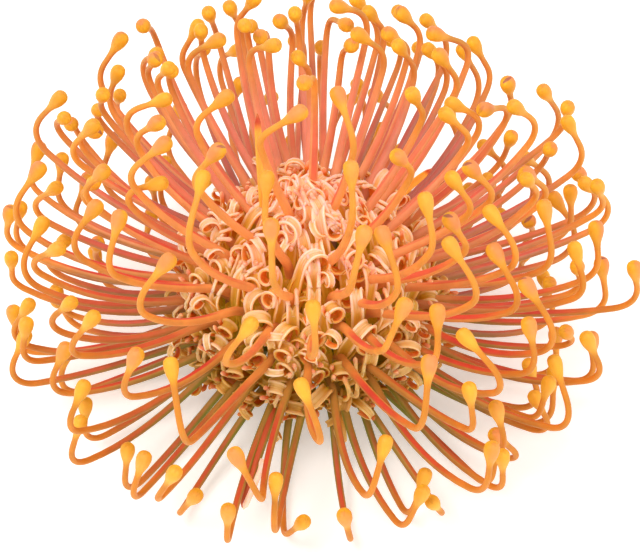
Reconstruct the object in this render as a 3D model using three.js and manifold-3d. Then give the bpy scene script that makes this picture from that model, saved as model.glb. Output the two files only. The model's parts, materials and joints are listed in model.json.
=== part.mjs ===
// Flower head of a pincushion protea (Leucospermum), freshly cut.
//
// A woody receptacle on a short stalk carries 144 florets in eight rings. Every floret is a perianth tube that stands on
// the receptacle, a long style that leaves it and hooks up and inwards, and the swollen pollen presenter at the style's
// tip. Neighbouring florets press on each other, three to a group. Small bracts close the underside of the head.
//
// Units are millimetres and +Z is up. The cut end of the stalk stands on z = 0 and the head's axis is vertical.

import * as THREE from 'three';
import { mergeVertices } from 'three/addons/utils/BufferGeometryUtils.js';
import Module from 'manifold-3d';

const wasm = await Module();
wasm.setup();

// ---------------------------------------------------------------- driving dimensions

const HEAD_CENTRE_Z = 16.1; // height of the centre that all florets point away from
const SEAT_GAP = 0.3; // clearance between pieces that rest on each other

const RECEPTACLE_RADIUS = 9.2;
const STALK_RADIUS = 4.2;
const STALK_EDGE_HEIGHT = 1.0; // the cut edge of the stalk is worn off over this height
const STALK_EDGE_WIDTH = 0.4; // and this far in
const RECEPTACLE_SIDES = 24;
const RECEPTACLE_ARC_STEPS = 10;

const PERIANTH_FOOT_RADIUS = 0.7; // on the receptacle
const PERIANTH_HEAD_RADIUS = 1.6; // where the tepals roll back
const PERIANTH_HEAD_AT = 20.2; // distance of the widest place from the head's centre
const CROWN_RADIUS = 22.4; // distance from the centre where the styles leave the perianths
const CONTACT_AT = 18.6; // distance from the centre where the perianths of a group press together
const CONTACT_RADIUS = 0.9;
const CONTACT_SIDES = 3;

const STYLE_BASE_RADIUS = 0.75;
const STYLE_NECK_RADIUS = 0.52; // just under the pollen presenter
const PRESENTER_LENGTH = 4.2;
const PRESENTER_BULGE_AT = 0.62; // part of the presenter's length
const PRESENTER_BULGE_RADIUS = 1.4;
const PRESENTER_TIP_RADIUS = 0.85;
const FLORET_SIDES = 5;
const BASE_STATION = 0.2; // distance of the style's first cross-section from the crown
const LEG_STATION = 0.5; // part of the leg where its middle cross-section is
const HOOK_STATIONS = [0.3, 0.65]; // parts of the hook where its cross-sections are
const TAIL_STATION = 0.5; // part of the tail where its cross-section is
const TANGENT_REACH = 0.4; // distance each way over which the direction of an axis is measured

const FLORETS_IN_GROUP = 3;

// One entry for each ring of florets, from the crown down. Angles are in degrees, measured from the head's axis.
//   polar: where the ring sits on the head       count: florets in the ring
//   turn: how far the ring is turned, as part of the spacing of its florets
//   start, bend, tip: direction of a style where it leaves the perianth, where its hook begins, and at its tip
//   leg: length up to the hook    hook: radius of the hook    tail: length from the hook to the presenter
const RINGS = [
  { polar: 10, count: 3, turn: 0, start: 20, bend: 9, tip: -36, leg: 19.5, hook: 5.4, tail: 2.0 },
  { polar: 26, count: 9, turn: 0, start: 34, bend: 18, tip: -38, leg: 20, hook: 5.4, tail: 2.0 },
  { polar: 41, count: 15, turn: 0, start: 47, bend: 25, tip: -40, leg: 22, hook: 5.6, tail: 1.8 },
  { polar: 56, count: 21, turn: 0.5, start: 61, bend: 36, tip: -38, leg: 24.5, hook: 5.8, tail: 1.8 },
  { polar: 71, count: 24, turn: 0, start: 77, bend: 49, tip: -32, leg: 28, hook: 5.8, tail: 2.0 },
  { polar: 86, count: 24, turn: 0.5, start: 93, bend: 62, tip: -26, leg: 28.8, hook: 5.4, tail: 2.0 },
  { polar: 100, count: 24, turn: 0, start: 105, bend: 76, tip: -16, leg: 24.8, hook: 4.8, tail: 2.0 },
  { polar: 113, count: 24, turn: 0.5, start: 114, bend: 90, tip: -2, leg: 19, hook: 4.2, tail: 2.0 },
];

// How far one floret may differ from its ring's values, each way.
const SPREAD = {
  azimuth: 0.16, // part of the ring's spacing
  polar: 2.0,
  start: 5,
  bend: 6,
  tip: 22,
  leg: 2.2,
  hook: 0.22, // part of the hook's radius
  tail: 1.0,
  lean: 8, // sideways turn of the whole style
  twist: 30, // sideways turn of the hook
  sway: 9, // how far the lean changes, each way, between the two ends of the leg
};

// Florets crowd towards the back of the head (+Y) and thin out at its front, most of all round the rim.
const CROWDING = 0.28;

const PATH_STEPS = 44; // steps along a style when its path is worked out
const CLEARANCE = 0.45; // least free space between the florets
const MOST_TRIES = 60;
const LEG_CURVE = 1.5; // above 1, a style bends more and more towards its hook

const BRACT_COUNT = 11;
const BRACT_LENGTH = 8.0;
const BRACT_WIDTH = 4.0;
const BRACT_THICKNESS = 0.8;
const BRACT_FOOT = 0.5; // width of a bract's foot, as part of its width
const BRACT_SWELL = 1.5; // how far its outline is drawn out sideways, as part of its width
const BRACT_SWELL_AT = 0.45; // and where, as part of its length
const BRACT_CURVE_STEPS = 5;
const BRACT_RISE = 10; // degrees above level
const BRACT_DROP = 9.2; // depth of a bract's foot below the head's centre

// ---------------------------------------------------------------- small helpers

const UP = new THREE.Vector3(0, 0, 1);
const radians = THREE.MathUtils.degToRad;
const fraction = (x) => x - Math.floor(x);

// A repeatable number from -1 to 1 for one trait of one floret. A later try gives another number.
function vary(floret, attempt, trait) {
  return 2 * fraction(Math.sin(floret * 12.9898 + attempt * 37.719 + trait * 78.233) * 43758.5453) - 1;
}

function toManifold(geometry) {
  const bare = geometry.clone();
  bare.deleteAttribute('normal');
  bare.deleteAttribute('uv');
  const merged = mergeVertices(bare, 1e-4);
  const mesh = new wasm.Mesh({
    numProp: 3,
    vertProperties: new Float32Array(merged.attributes.position.array),
    triVerts: new Uint32Array(merged.index.array),
  });
  return new wasm.Manifold(mesh);
}

function toGeometry(manifold) {
  const mesh = manifold.getMesh();
  const geometry = new THREE.BufferGeometry();
  geometry.setAttribute('position', new THREE.BufferAttribute(new Float32Array(mesh.vertProperties), 3));
  geometry.setIndex(new THREE.BufferAttribute(new Uint32Array(mesh.triVerts), 1));
  geometry.computeVertexNormals();
  return geometry;
}

function namedMesh(name, geometry, material) {
  const mesh = new THREE.Mesh(geometry, material);
  mesh.name = name;
  return mesh;
}

// ---------------------------------------------------------------- the path of one floret

// The numbers that shape one floret: its ring's values and its own variation.
function drawTraits(ring, place, floret, attempt) {
  const v = (trait) => vary(floret, attempt, trait);
  const fromBack = radians((360 / ring.count) * (place + ring.turn + SPREAD.azimuth * v(1)));
  const crowding = CROWDING * Math.sin(radians(ring.polar));
  const bend = radians(ring.bend + SPREAD.bend * v(4));
  const tip = radians(ring.tip + SPREAD.tip * v(5));
  const hookRadius = ring.hook * (1 + SPREAD.hook * v(7));
  return {
    azimuth: radians(90) + fromBack - crowding * Math.sin(fromBack),
    polar: radians(ring.polar + SPREAD.polar * v(2)),
    start: radians(ring.start + SPREAD.start * v(3)),
    bend,
    tip,
    leg: ring.leg + SPREAD.leg * v(6),
    hook: (bend - tip) * hookRadius,
    tail: ring.tail + SPREAD.tail * v(8),
    lean: radians(SPREAD.lean * v(9)),
    twist: radians(SPREAD.twist * v(10)),
    sway: radians(SPREAD.sway * v(11)),
  };
}

// Direction of the style at a distance along it, in the floret's own upright plane (x outwards, z up).
function styleDirection(traits, distance) {
  const onLeg = Math.min(1, distance / traits.leg);
  const onHook = THREE.MathUtils.clamp((distance - traits.leg) / traits.hook, 0, 1);
  const turned = 0.5 * onHook + 0.5 * onHook * onHook * (3 - 2 * onHook);
  const angle =
    traits.start + (traits.bend - traits.start) * onLeg ** LEG_CURVE + (traits.tip - traits.bend) * turned;
  const lean = traits.lean + traits.sway * (2 * onLeg - 1);
  const forward = new THREE.Vector3(
    Math.sin(angle) * Math.cos(lean),
    Math.sin(angle) * Math.sin(lean),
    Math.cos(angle),
  );
  const sideways = new THREE.Vector3(-Math.sin(lean), Math.cos(lean), 0);
  const twist = traits.twist * turned;
  return forward.multiplyScalar(Math.cos(twist)).addScaledVector(sideways, Math.sin(twist));
}

function radialDirection(traits) {
  return new THREE.Vector3(Math.sin(traits.polar), 0, Math.cos(traits.polar));
}

// Radius of the style and its presenter at a distance from the crown.
function styleRadius(traits, distance) {
  const neckAt = traits.leg + traits.hook + traits.tail;
  const bulgeAt = neckAt + PRESENTER_BULGE_AT * PRESENTER_LENGTH;
  if (distance < neckAt) {
    return THREE.MathUtils.lerp(STYLE_BASE_RADIUS, STYLE_NECK_RADIUS, distance / neckAt);
  }
  if (distance < bulgeAt) {
    const part = (distance - neckAt) / (bulgeAt - neckAt);
    return THREE.MathUtils.lerp(STYLE_NECK_RADIUS, PRESENTER_BULGE_RADIUS, part);
  }
  return PRESENTER_BULGE_RADIUS;
}

// Points and radii along the style, about the head's centre, turned to the floret's azimuth.
function stylePath(traits) {
  const length = traits.leg + traits.hook + traits.tail + PRESENTER_LENGTH;
  const step = length / PATH_STEPS;
  const point = radialDirection(traits).multiplyScalar(CROWN_RADIUS);
  const points = [point.clone()];
  const radii = [styleRadius(traits, 0)];
  for (let i = 0; i < PATH_STEPS; i += 1) {
    point.addScaledVector(styleDirection(traits, (i + 0.5) * step), step);
    points.push(point.clone());
    radii.push(styleRadius(traits, (i + 1) * step));
  }
  points.forEach((p) => p.applyAxisAngle(UP, traits.azimuth));
  return { points, radii, length };
}

function tooClose(path, others) {
  return others.some((other) =>
    path.points.some((p, i) =>
      other.points.some((q, j) => p.distanceTo(q) < path.radii[i] + other.radii[j] + CLEARANCE),
    ),
  );
}

// Every floret of the head. One whose style would touch an earlier one is drawn again.
function layOutFlorets() {
  const florets = [];
  RINGS.forEach((ring, ringIndex) => {
    for (let place = 0; place < ring.count; place += 1) {
      const number = florets.length;
      const paths = florets.map((f) => f.path);
      let traits;
      let path;
      for (let attempt = 0; attempt < MOST_TRIES; attempt += 1) {
        traits = drawTraits(ring, place, number, attempt);
        path = stylePath(traits);
        if (!tooClose(path, paths)) break;
      }
      florets.push({ ringIndex, place, traits, path });
    }
  });
  return florets;
}

// ---------------------------------------------------------------- solids

// A lathe-turned solid whose straight axis is bent along a smooth curve. The stations give the place along the curve
// (0 to 1) and the radius there.
function bentLathe(curve, stations, sides) {
  const profile = stations.map((s) => new THREE.Vector2(s.radius, s.at));
  profile.unshift(new THREE.Vector2(0, stations[0].at));
  profile.push(new THREE.Vector2(0, stations[stations.length - 1].at));
  const geometry = new THREE.LatheGeometry(profile, sides);
  let side = new THREE.Vector3(0, 1, 0).applyAxisAngle(UP, curve.azimuth);
  const frames = stations.map((station) => {
    const along = curve.tangent(station.at);
    side = side.clone().addScaledVector(along, -side.dot(along)).normalize();
    return { centre: curve.point(station.at), side, across: side.clone().cross(along) };
  });
  const position = geometry.attributes.position;
  for (let i = 0; i < position.count; i += 1) {
    const place = (i % profile.length) - 1;
    const frame = frames[THREE.MathUtils.clamp(place, 0, frames.length - 1)];
    const p = frame.centre
      .clone()
      .addScaledVector(frame.side, position.getX(i))
      .addScaledVector(frame.across, position.getZ(i));
    position.setXYZ(i, p.x, p.y, p.z);
  }
  return geometry;
}

// Axis of a floret from its foot on the receptacle to the tip of its presenter, as distances from the foot.
function floretAxis(floret) {
  const { traits, path } = floret;
  const outward = radialDirection(traits).applyAxisAngle(UP, traits.azimuth);
  const foot = RECEPTACLE_RADIUS + SEAT_GAP;
  const tube = CROWN_RADIUS - foot;
  const step = path.length / PATH_STEPS;
  const last = path.points.length - 1;
  const point = (distance) => {
    if (distance <= tube) return outward.clone().multiplyScalar(foot + distance);
    const place = Math.min(last - 1e-9, (distance - tube) / step);
    const i = Math.floor(place);
    return path.points[i].clone().lerp(path.points[i + 1], place - i);
  };
  const total = tube + path.length;
  const tangent = (distance) => {
    const before = point(Math.max(0, distance - TANGENT_REACH));
    const after = point(Math.min(total, distance + TANGENT_REACH));
    return after.sub(before).normalize();
  };
  return { point, tangent, azimuth: traits.azimuth, tube, total };
}

function floretSolid(floret) {
  const { traits } = floret;
  const axis = floretAxis(floret);
  const neck = traits.leg + traits.hook + traits.tail;
  const onStyle = (distance) => ({ at: axis.tube + distance, radius: styleRadius(traits, distance) });
  const stations = [
    { at: 0, radius: PERIANTH_FOOT_RADIUS },
    { at: PERIANTH_HEAD_AT - RECEPTACLE_RADIUS - SEAT_GAP, radius: PERIANTH_HEAD_RADIUS },
    onStyle(BASE_STATION),
    onStyle(LEG_STATION * traits.leg),
    onStyle(traits.leg),
    ...HOOK_STATIONS.map((part) => onStyle(traits.leg + part * traits.hook)),
    onStyle(neck - TAIL_STATION * traits.tail),
    onStyle(neck + PRESENTER_BULGE_AT * PRESENTER_LENGTH),
    { at: axis.total, radius: PRESENTER_TIP_RADIUS },
  ];
  return toManifold(bentLathe(axis, stations, FLORET_SIDES));
}

// The place where two neighbouring perianths press together: a short thick web between their axes.
function contactSolid(a, b) {
  const depth = CONTACT_AT - RECEPTACLE_RADIUS - SEAT_GAP;
  const from = floretAxis(a).point(depth);
  const to = floretAxis(b).point(depth);
  const web = new THREE.CylinderGeometry(CONTACT_RADIUS, CONTACT_RADIUS, from.distanceTo(to), CONTACT_SIDES);
  const turn = new THREE.Quaternion().setFromUnitVectors(
    new THREE.Vector3(0, 1, 0),
    to.clone().sub(from).normalize(),
  );
  web.applyQuaternion(turn);
  const middle = from.add(to).multiplyScalar(0.5);
  web.translate(middle.x, middle.y, middle.z);
  return toManifold(web);
}

function groupGeometry(members) {
  let solid = floretSolid(members[0]);
  for (let i = 1; i < members.length; i += 1) {
    solid = solid.add(floretSolid(members[i])).add(contactSolid(members[i - 1], members[i]));
  }
  return toGeometry(solid);
}

// Cut stalk and receptacle, grown as one: a rounded stub that swells into a ball.
function receptacleGeometry() {
  const profile = [
    new THREE.Vector2(0, -HEAD_CENTRE_Z),
    new THREE.Vector2(STALK_RADIUS - STALK_EDGE_WIDTH, -HEAD_CENTRE_Z),
    new THREE.Vector2(STALK_RADIUS, -HEAD_CENTRE_Z + STALK_EDGE_HEIGHT),
  ];
  const joint = Math.PI - Math.asin(STALK_RADIUS / RECEPTACLE_RADIUS);
  for (let i = 0; i <= RECEPTACLE_ARC_STEPS; i += 1) {
    const angle = joint * (1 - i / RECEPTACLE_ARC_STEPS);
    const radius = i === RECEPTACLE_ARC_STEPS ? 0 : RECEPTACLE_RADIUS * Math.sin(angle);
    profile.push(new THREE.Vector2(radius, RECEPTACLE_RADIUS * Math.cos(angle)));
  }
  const geometry = new THREE.LatheGeometry(profile, RECEPTACLE_SIDES);
  geometry.rotateX(Math.PI / 2);
  return toGeometry(toManifold(geometry));
}

// A small egg-shaped leaf with a point, lying level, with its foot towards the head's axis.
function bractGeometry() {
  const outline = new THREE.Shape();
  const half = BRACT_WIDTH / 2;
  const swellAt = BRACT_LENGTH * BRACT_SWELL_AT;
  outline.moveTo(0, -half * BRACT_FOOT);
  outline.quadraticCurveTo(swellAt, -half * BRACT_SWELL, BRACT_LENGTH, 0);
  outline.quadraticCurveTo(swellAt, half * BRACT_SWELL, 0, half * BRACT_FOOT);
  outline.closePath();
  const geometry = new THREE.ExtrudeGeometry(outline, {
    depth: BRACT_THICKNESS,
    bevelEnabled: false,
    curveSegments: BRACT_CURVE_STEPS,
  });
  return toGeometry(toManifold(geometry));
}

// ---------------------------------------------------------------- materials

const woodGreen = new THREE.MeshStandardMaterial({ color: '#7d8a45', roughness: 0.8, metalness: 0 });
const bractGreen = new THREE.MeshStandardMaterial({ color: '#93924f', roughness: 0.75, metalness: 0 });
const ringMaterials = RINGS.map((ring, i) => {
  const color = new THREE.Color('#f0795a').lerp(new THREE.Color('#eaa23c'), i / (RINGS.length - 1));
  return new THREE.MeshStandardMaterial({ color, roughness: 0.5, metalness: 0 });
});

// ---------------------------------------------------------------- assembly

const flower = new THREE.Group();
const head = new THREE.Group();
head.position.z = HEAD_CENTRE_Z;
flower.add(head);

head.add(namedMesh('stalk_and_receptacle', receptacleGeometry(), woodGreen));

const florets = layOutFlorets();
RINGS.forEach((ring, ringIndex) => {
  const inRing = florets.filter((f) => f.ringIndex === ringIndex);
  for (let first = 0; first < ring.count; first += FLORETS_IN_GROUP) {
    const members = inRing.slice(first, first + FLORETS_IN_GROUP);
    const name = `florets_ring${ringIndex + 1}_group${first / FLORETS_IN_GROUP + 1}`;
    head.add(namedMesh(name, groupGeometry(members), ringMaterials[ringIndex]));
  }
});

const bract = bractGeometry();
for (let i = 0; i < BRACT_COUNT; i += 1) {
  const holder = new THREE.Group();
  holder.rotation.z = (i / BRACT_COUNT) * 2 * Math.PI;
  const mesh = namedMesh(`bract_${i + 1}`, bract, bractGreen);
  mesh.rotation.y = -radians(BRACT_RISE);
  mesh.position.set(STALK_RADIUS + SEAT_GAP, 0, -BRACT_DROP - BRACT_THICKNESS);
  holder.add(mesh);
  head.add(holder);
}

// The origin goes to the middle of the footprint, at the height of the cut end.
flower.updateMatrixWorld(true);
const middle = new THREE.Box3().setFromObject(flower).getCenter(new THREE.Vector3());
flower.position.set(-middle.x, -middle.y, 0);

export default flower;
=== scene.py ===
# %% [markdown]
# # A pincushion protea flower head
#
# A pincushion protea (*Leucospermum*) is not one flower. It is a head of well over a hundred florets that
# share a woody core. Each floret is a thin tube whose tepals have split and rolled back into curls, and
# out of it comes one long, wiry style that hooks up at the end and carries a swollen yellow pollen
# presenter.
#
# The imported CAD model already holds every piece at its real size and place. This notebook keeps those
# places and gives the pieces their living surface. The steps are: load the frame, set the camera, floor
# and light, repeat the plan of the florets, and then build pistils, perianths, receptacle and bracts, each
# with its own material.

# %% Load the frame
import json
import math

import bpy
import numpy as np
from mathutils import Matrix, Vector

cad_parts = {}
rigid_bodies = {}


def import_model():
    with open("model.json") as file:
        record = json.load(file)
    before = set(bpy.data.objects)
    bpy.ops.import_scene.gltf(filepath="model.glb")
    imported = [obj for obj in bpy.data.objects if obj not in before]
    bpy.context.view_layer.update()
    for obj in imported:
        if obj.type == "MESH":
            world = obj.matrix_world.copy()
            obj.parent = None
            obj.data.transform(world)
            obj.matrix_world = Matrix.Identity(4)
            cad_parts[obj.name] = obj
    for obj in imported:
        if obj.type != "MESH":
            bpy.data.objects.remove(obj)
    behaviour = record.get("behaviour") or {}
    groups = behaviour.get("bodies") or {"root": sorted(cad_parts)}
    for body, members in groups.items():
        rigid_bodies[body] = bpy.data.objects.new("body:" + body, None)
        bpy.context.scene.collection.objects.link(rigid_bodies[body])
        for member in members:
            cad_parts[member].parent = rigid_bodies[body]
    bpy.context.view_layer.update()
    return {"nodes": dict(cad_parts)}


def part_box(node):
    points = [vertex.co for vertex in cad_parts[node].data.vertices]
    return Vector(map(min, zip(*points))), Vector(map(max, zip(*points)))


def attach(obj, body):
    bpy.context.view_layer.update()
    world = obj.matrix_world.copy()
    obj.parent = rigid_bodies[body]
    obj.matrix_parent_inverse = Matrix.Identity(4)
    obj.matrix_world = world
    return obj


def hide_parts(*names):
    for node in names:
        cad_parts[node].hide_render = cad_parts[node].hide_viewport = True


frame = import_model()
MM = 0.001  # everything below is worked out in millimetres and made in metres

print("CAD nodes:", len(frame["nodes"]))

# %% [markdown]
# ## Where the head's centre is
#
# All florets point away from one centre, the middle of the ball-shaped receptacle. The receptacle is a
# turned shape, so the middle of its box lies on the head's axis, and its centre is one radius below its
# top.

# %% Find the head's centre from the receptacle
core_low, core_high = (np.array(corner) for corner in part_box("stalk_and_receptacle"))
CORE_RADIUS = 9.2  # mm
CENTRE = np.array([
    (core_low[0] + core_high[0]) / 2,
    (core_low[1] + core_high[1]) / 2,
    core_high[2] - CORE_RADIUS * MM,
])

print("head centre (mm):", np.round(CENTRE / MM, 2))

# %% [markdown]
# ## Colours and nodes
#
# Screen colours are easiest to name as hex values, but a shader computes in linear light, so one function
# converts them. A second small function adds any node, in a material or in a Geometry Nodes tree, with its
# settings and links. The kinds of node that are wanted again and again are kept as short rows: the type,
# its settings, the inputs that are filled in order, and the output that is read. Each row stands in the
# cell that needs it first.

# %% From a hex colour to linear light
def srgb(hex_colour):
    """A hex colour such as '#E8523E' as linear RGBA."""
    channels = [int(hex_colour[i:i + 2], 16) / 255 for i in (1, 3, 5)]
    linear = [c / 12.92 if c <= 0.04045 else ((c + 0.055) / 1.055) ** 2.4 for c in channels]
    return (*linear, 1.0)


print("white as linear light:", srgb("#FFFFFF"))

# %% Add a node, and start a material
def add(tree, row, *values, **more):
    """Adds the node of a row to a tree and returns its output, or the node itself if it has none.

    The values fill the row's inputs in order. Of the other names, one with a capital letter is an input (__
    stands for a space) and one in small letters is a setting. An input takes a number, a hex colour or
    another node's output."""
    kind, settings, order, output = row
    node = tree.nodes.new(kind)
    inputs = dict(zip(order, values))
    for name, value in {**settings, **more}.items():
        if name[0].isupper():
            inputs[name.replace("__", " ")] = value
        else:
            setattr(node, name, value)
    for name, value in inputs.items():
        if isinstance(value, bpy.types.NodeSocket):
            tree.links.new(value, node.inputs[name])
        else:
            node.inputs[name].default_value = srgb(value) if str(value).startswith("#") else value
    return node.outputs[output] if node.outputs else node


def empty_material(name):
    """A material with an empty tree of nodes, and the tree."""
    material = bpy.data.materials.new(name)
    material.use_nodes = True
    material.node_tree.nodes.clear()
    return material, material.node_tree


SHADER = ("ShaderNodeBsdfPrincipled", {}, (), "BSDF")
SURFACE = ("ShaderNodeOutputMaterial", {}, ("Surface",), None)

print("rows for the ends of a material:", SHADER[0], SURFACE[0])

# %% [markdown]
# ## Camera
#
# A flower head like this is looked at from above and in front, at about 47 degrees. A wide lens close by
# would swell the near styles, so a long lens stands half a metre away and keeps them only a little larger
# than the far ones. The lens is worked out from how much of the head's width it has to take in.

# %% Camera
CAMERA_ELEVATION = math.radians(47)
CAMERA_DISTANCE = 470 * MM
VIEW_WIDTH = 111.4 * MM  # what the view takes in from side to side at the head's centre
AIM_ABOVE_CENTRE = 4.4 * MM  # the head sits a little below the middle of the view
AIM_TO_THE_RIGHT = 2.0 * MM


def put_in_scene(name, data):
    """A new object with this data, linked to the scene."""
    made = bpy.data.objects.new(name, data)
    bpy.context.scene.collection.objects.link(made)
    return made


view_direction = Vector((0, math.cos(CAMERA_ELEVATION), -math.sin(CAMERA_ELEVATION)))
view_up = Vector((0, math.sin(CAMERA_ELEVATION), math.cos(CAMERA_ELEVATION)))
aim = Vector(CENTRE) + view_up * AIM_ABOVE_CENTRE + Vector((AIM_TO_THE_RIGHT, 0, 0))

lens = bpy.data.cameras.new("camera")
lens.lens = lens.sensor_width * CAMERA_DISTANCE / VIEW_WIDTH
lens.clip_start = 10 * MM
camera = put_in_scene("camera", lens)
camera.location = aim - view_direction * CAMERA_DISTANCE
camera.rotation_euler = view_direction.to_track_quat("-Z", "Y").to_euler()
bpy.context.scene.camera = camera

print("lens (mm):", round(lens.lens, 1))

# %% [markdown]
# ## Floor
#
# The head stands on a plain white table in a bright studio. A real table has an edge, and a bent backdrop
# would hide it, but one sheet of matt card three metres wide does the same here. A little light of its own
# keeps the card white, as bounced studio light does. The Standard view keeps strong flower colours as they
# are.

# %% Floor of white card
FLOOR_HALF = 1.5  # metres from the middle to an edge
CORNERS = ((-1, -1), (1, -1), (1, 1), (-1, 1))

bpy.context.scene.view_settings.view_transform = "Standard"
sheet = bpy.data.meshes.new("floor")
sheet.from_pydata([(FLOOR_HALF * x, FLOOR_HALF * y, 0) for x, y in CORNERS], [], [(0, 1, 2, 3)])
floor = put_in_scene("floor", sheet)
white_card, tree = empty_material("white_card")
card = add(
    tree, SHADER, Base__Color="#FAF9F7", Roughness=0.9, Emission__Color="#FFFFFF", Emission__Strength=0.3)
add(tree, SURFACE, card)
floor.data.materials.append(white_card)

print("floor width (m):", 2 * FLOOR_HALF)

# %% [markdown]
# ## Light
#
# A flower this pale in its curls needs soft light, or every strap throws a hard shadow. A white world
# gives the even, high-key light of a light tent, a big soft key from the upper left models the round
# styles, and a weaker one from the right opens the shadows. Both are square area lights, aimed at the
# head's centre.

# %% World and lights
WORLD_STRENGTH = 0.7
LIGHT_SIZE = 0.5  # metres
LIGHTS = [  # name, place in metres, power in watts, colour
    ("key", (-0.35, -0.25, 0.85), 5.4, (1.0, 0.98, 0.95)),
    ("fill", (0.6, -0.3, 0.5), 1.8, (1.0, 0.98, 0.96)),
]

world = bpy.data.worlds.new("light_tent")
world.use_nodes = True
background = world.node_tree.nodes["Background"]
background.inputs["Color"].default_value = srgb("#FFFFFF")
background.inputs["Strength"].default_value = WORLD_STRENGTH
bpy.context.scene.world = world

for name, place, power, colour in LIGHTS:
    lamp = bpy.data.lights.new(name, "AREA")
    lamp.size = LIGHT_SIZE
    lamp.energy = power
    lamp.color = colour
    light = put_in_scene(name, lamp)
    light.location = place
    light.rotation_euler = (Vector(CENTRE) - Vector(place)).to_track_quat("-Z", "Y").to_euler()
    print(light.name, "light at (m):", place)

# %% [markdown]
# ## The plan of the florets
#
# The florets stand in eight staggered rings from the crown to the underside. Each ring has its own
# directions: crown styles stand up and bend inwards, side styles run outwards and hook up, and the lowest
# ones leave almost level. Every floret then differs a little from its ring. The places could be read off
# the CAD solids, but the same repeatable numbers that shaped those give each style's whole curve as well,
# so the plan is worked out again here. A style that would touch an earlier one is drawn again, as in the
# CAD.

# %% Ring values
RINGS = [  # angles in degrees from straight up, lengths in mm; a turn of 0.5 staggers a ring by half a space
    dict(polar=10, count=3, turn=0, start=20, bend=9, tip=-36, leg=19.5, hook=5.4, tail=2.0),
    dict(polar=26, count=9, turn=0, start=34, bend=18, tip=-38, leg=20, hook=5.4, tail=2.0),
    dict(polar=41, count=15, turn=0, start=47, bend=25, tip=-40, leg=22, hook=5.6, tail=1.8),
    dict(polar=56, count=21, turn=0.5, start=61, bend=36, tip=-38, leg=24.5, hook=5.8, tail=1.8),
    dict(polar=71, count=24, turn=0, start=77, bend=49, tip=-32, leg=28, hook=5.8, tail=2.0),
    dict(polar=86, count=24, turn=0.5, start=93, bend=62, tip=-26, leg=28.8, hook=5.4, tail=2.0),
    dict(polar=100, count=24, turn=0, start=105, bend=76, tip=-16, leg=24.8, hook=4.8, tail=2.0),
    dict(polar=113, count=24, turn=0.5, start=114, bend=90, tip=-2, leg=19, hook=4.2, tail=2.0),
]
LAST_RING = len(RINGS) - 1
SPREAD = dict(
    azimuth=0.16, polar=2.0, start=5, bend=6, tip=22, leg=2.2, hook=0.22, tail=1.0, lean=8, twist=30, sway=9)
OTHER_TRAITS = dict(  # which of the repeatable numbers each further trait uses
    tone=21, spin=31, size=32, kind=33, perianth_tone=34, tilt=35, late_leg=41, bract_size=41, bract_tone=42)
CROWDING = 0.28  # florets crowd towards the back (+Y) and thin out at the front, most of all round the rim

print("florets:", sum(ring["count"] for ring in RINGS))

# %% One floret's traits
def vary(floret, attempt, trait):
    """A repeatable number from -1 to 1 for one trait of one floret."""
    x = math.sin(floret * 12.9898 + attempt * 37.719 + trait * 78.233) * 43758.5453
    return 2 * (x - math.floor(x)) - 1


def own(floret, trait, attempt=0):
    """The same, for a trait that isn't part of the CAD's plan."""
    return vary(floret, attempt, OTHER_TRAITS[trait])


def draw_traits(ring, place, floret, attempt):
    """The numbers that shape one floret: its ring's values and its own changes."""
    change = {key: SPREAD[key] * vary(floret, attempt, trait) for trait, key in enumerate(SPREAD, 1)}
    spacing = 360 / ring["count"]
    from_back = math.radians(spacing * (place + ring["turn"] + change["azimuth"]))
    crowding = CROWDING * math.sin(math.radians(ring["polar"]))
    bend = math.radians(ring["bend"] + change["bend"])
    tip = math.radians(ring["tip"] + change["tip"])
    return dict(
        azimuth=math.pi / 2 + from_back - crowding * math.sin(from_back),
        polar=math.radians(ring["polar"] + change["polar"]),
        start=math.radians(ring["start"] + change["start"]),
        bend=bend,
        tip=tip,
        leg=ring["leg"] + change["leg"],
        hook=(bend - tip) * ring["hook"] * (1 + change["hook"]),
        tail=ring["tail"] + change["tail"],
        lean=math.radians(change["lean"]),
        twist=math.radians(change["twist"]),
        sway=math.radians(change["sway"]),
    )


print("length of the first leg (mm):", round(draw_traits(RINGS[0], 0, 0, 0)["leg"], 2))

# %% One style's path
CROWN_RADIUS = 22.4  # mm from the head's centre to where the styles leave the perianths
PRESENTER_LENGTH = 4.2
LEG_CURVE = 1.5  # above 1, a style bends more and more towards its hook


def turned_about_axis(points, azimuth):
    """Points turned about the upright axis."""
    c, s = math.cos(azimuth), math.sin(azimuth)
    return points @ np.array([[c, s, 0], [-s, c, 0], [0, 0, 1]])


def smoothstep(x):
    """From 0 to 1 with a soft start and end."""
    x = np.clip(x, 0, 1)
    return x * x * (3 - 2 * x)


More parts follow.
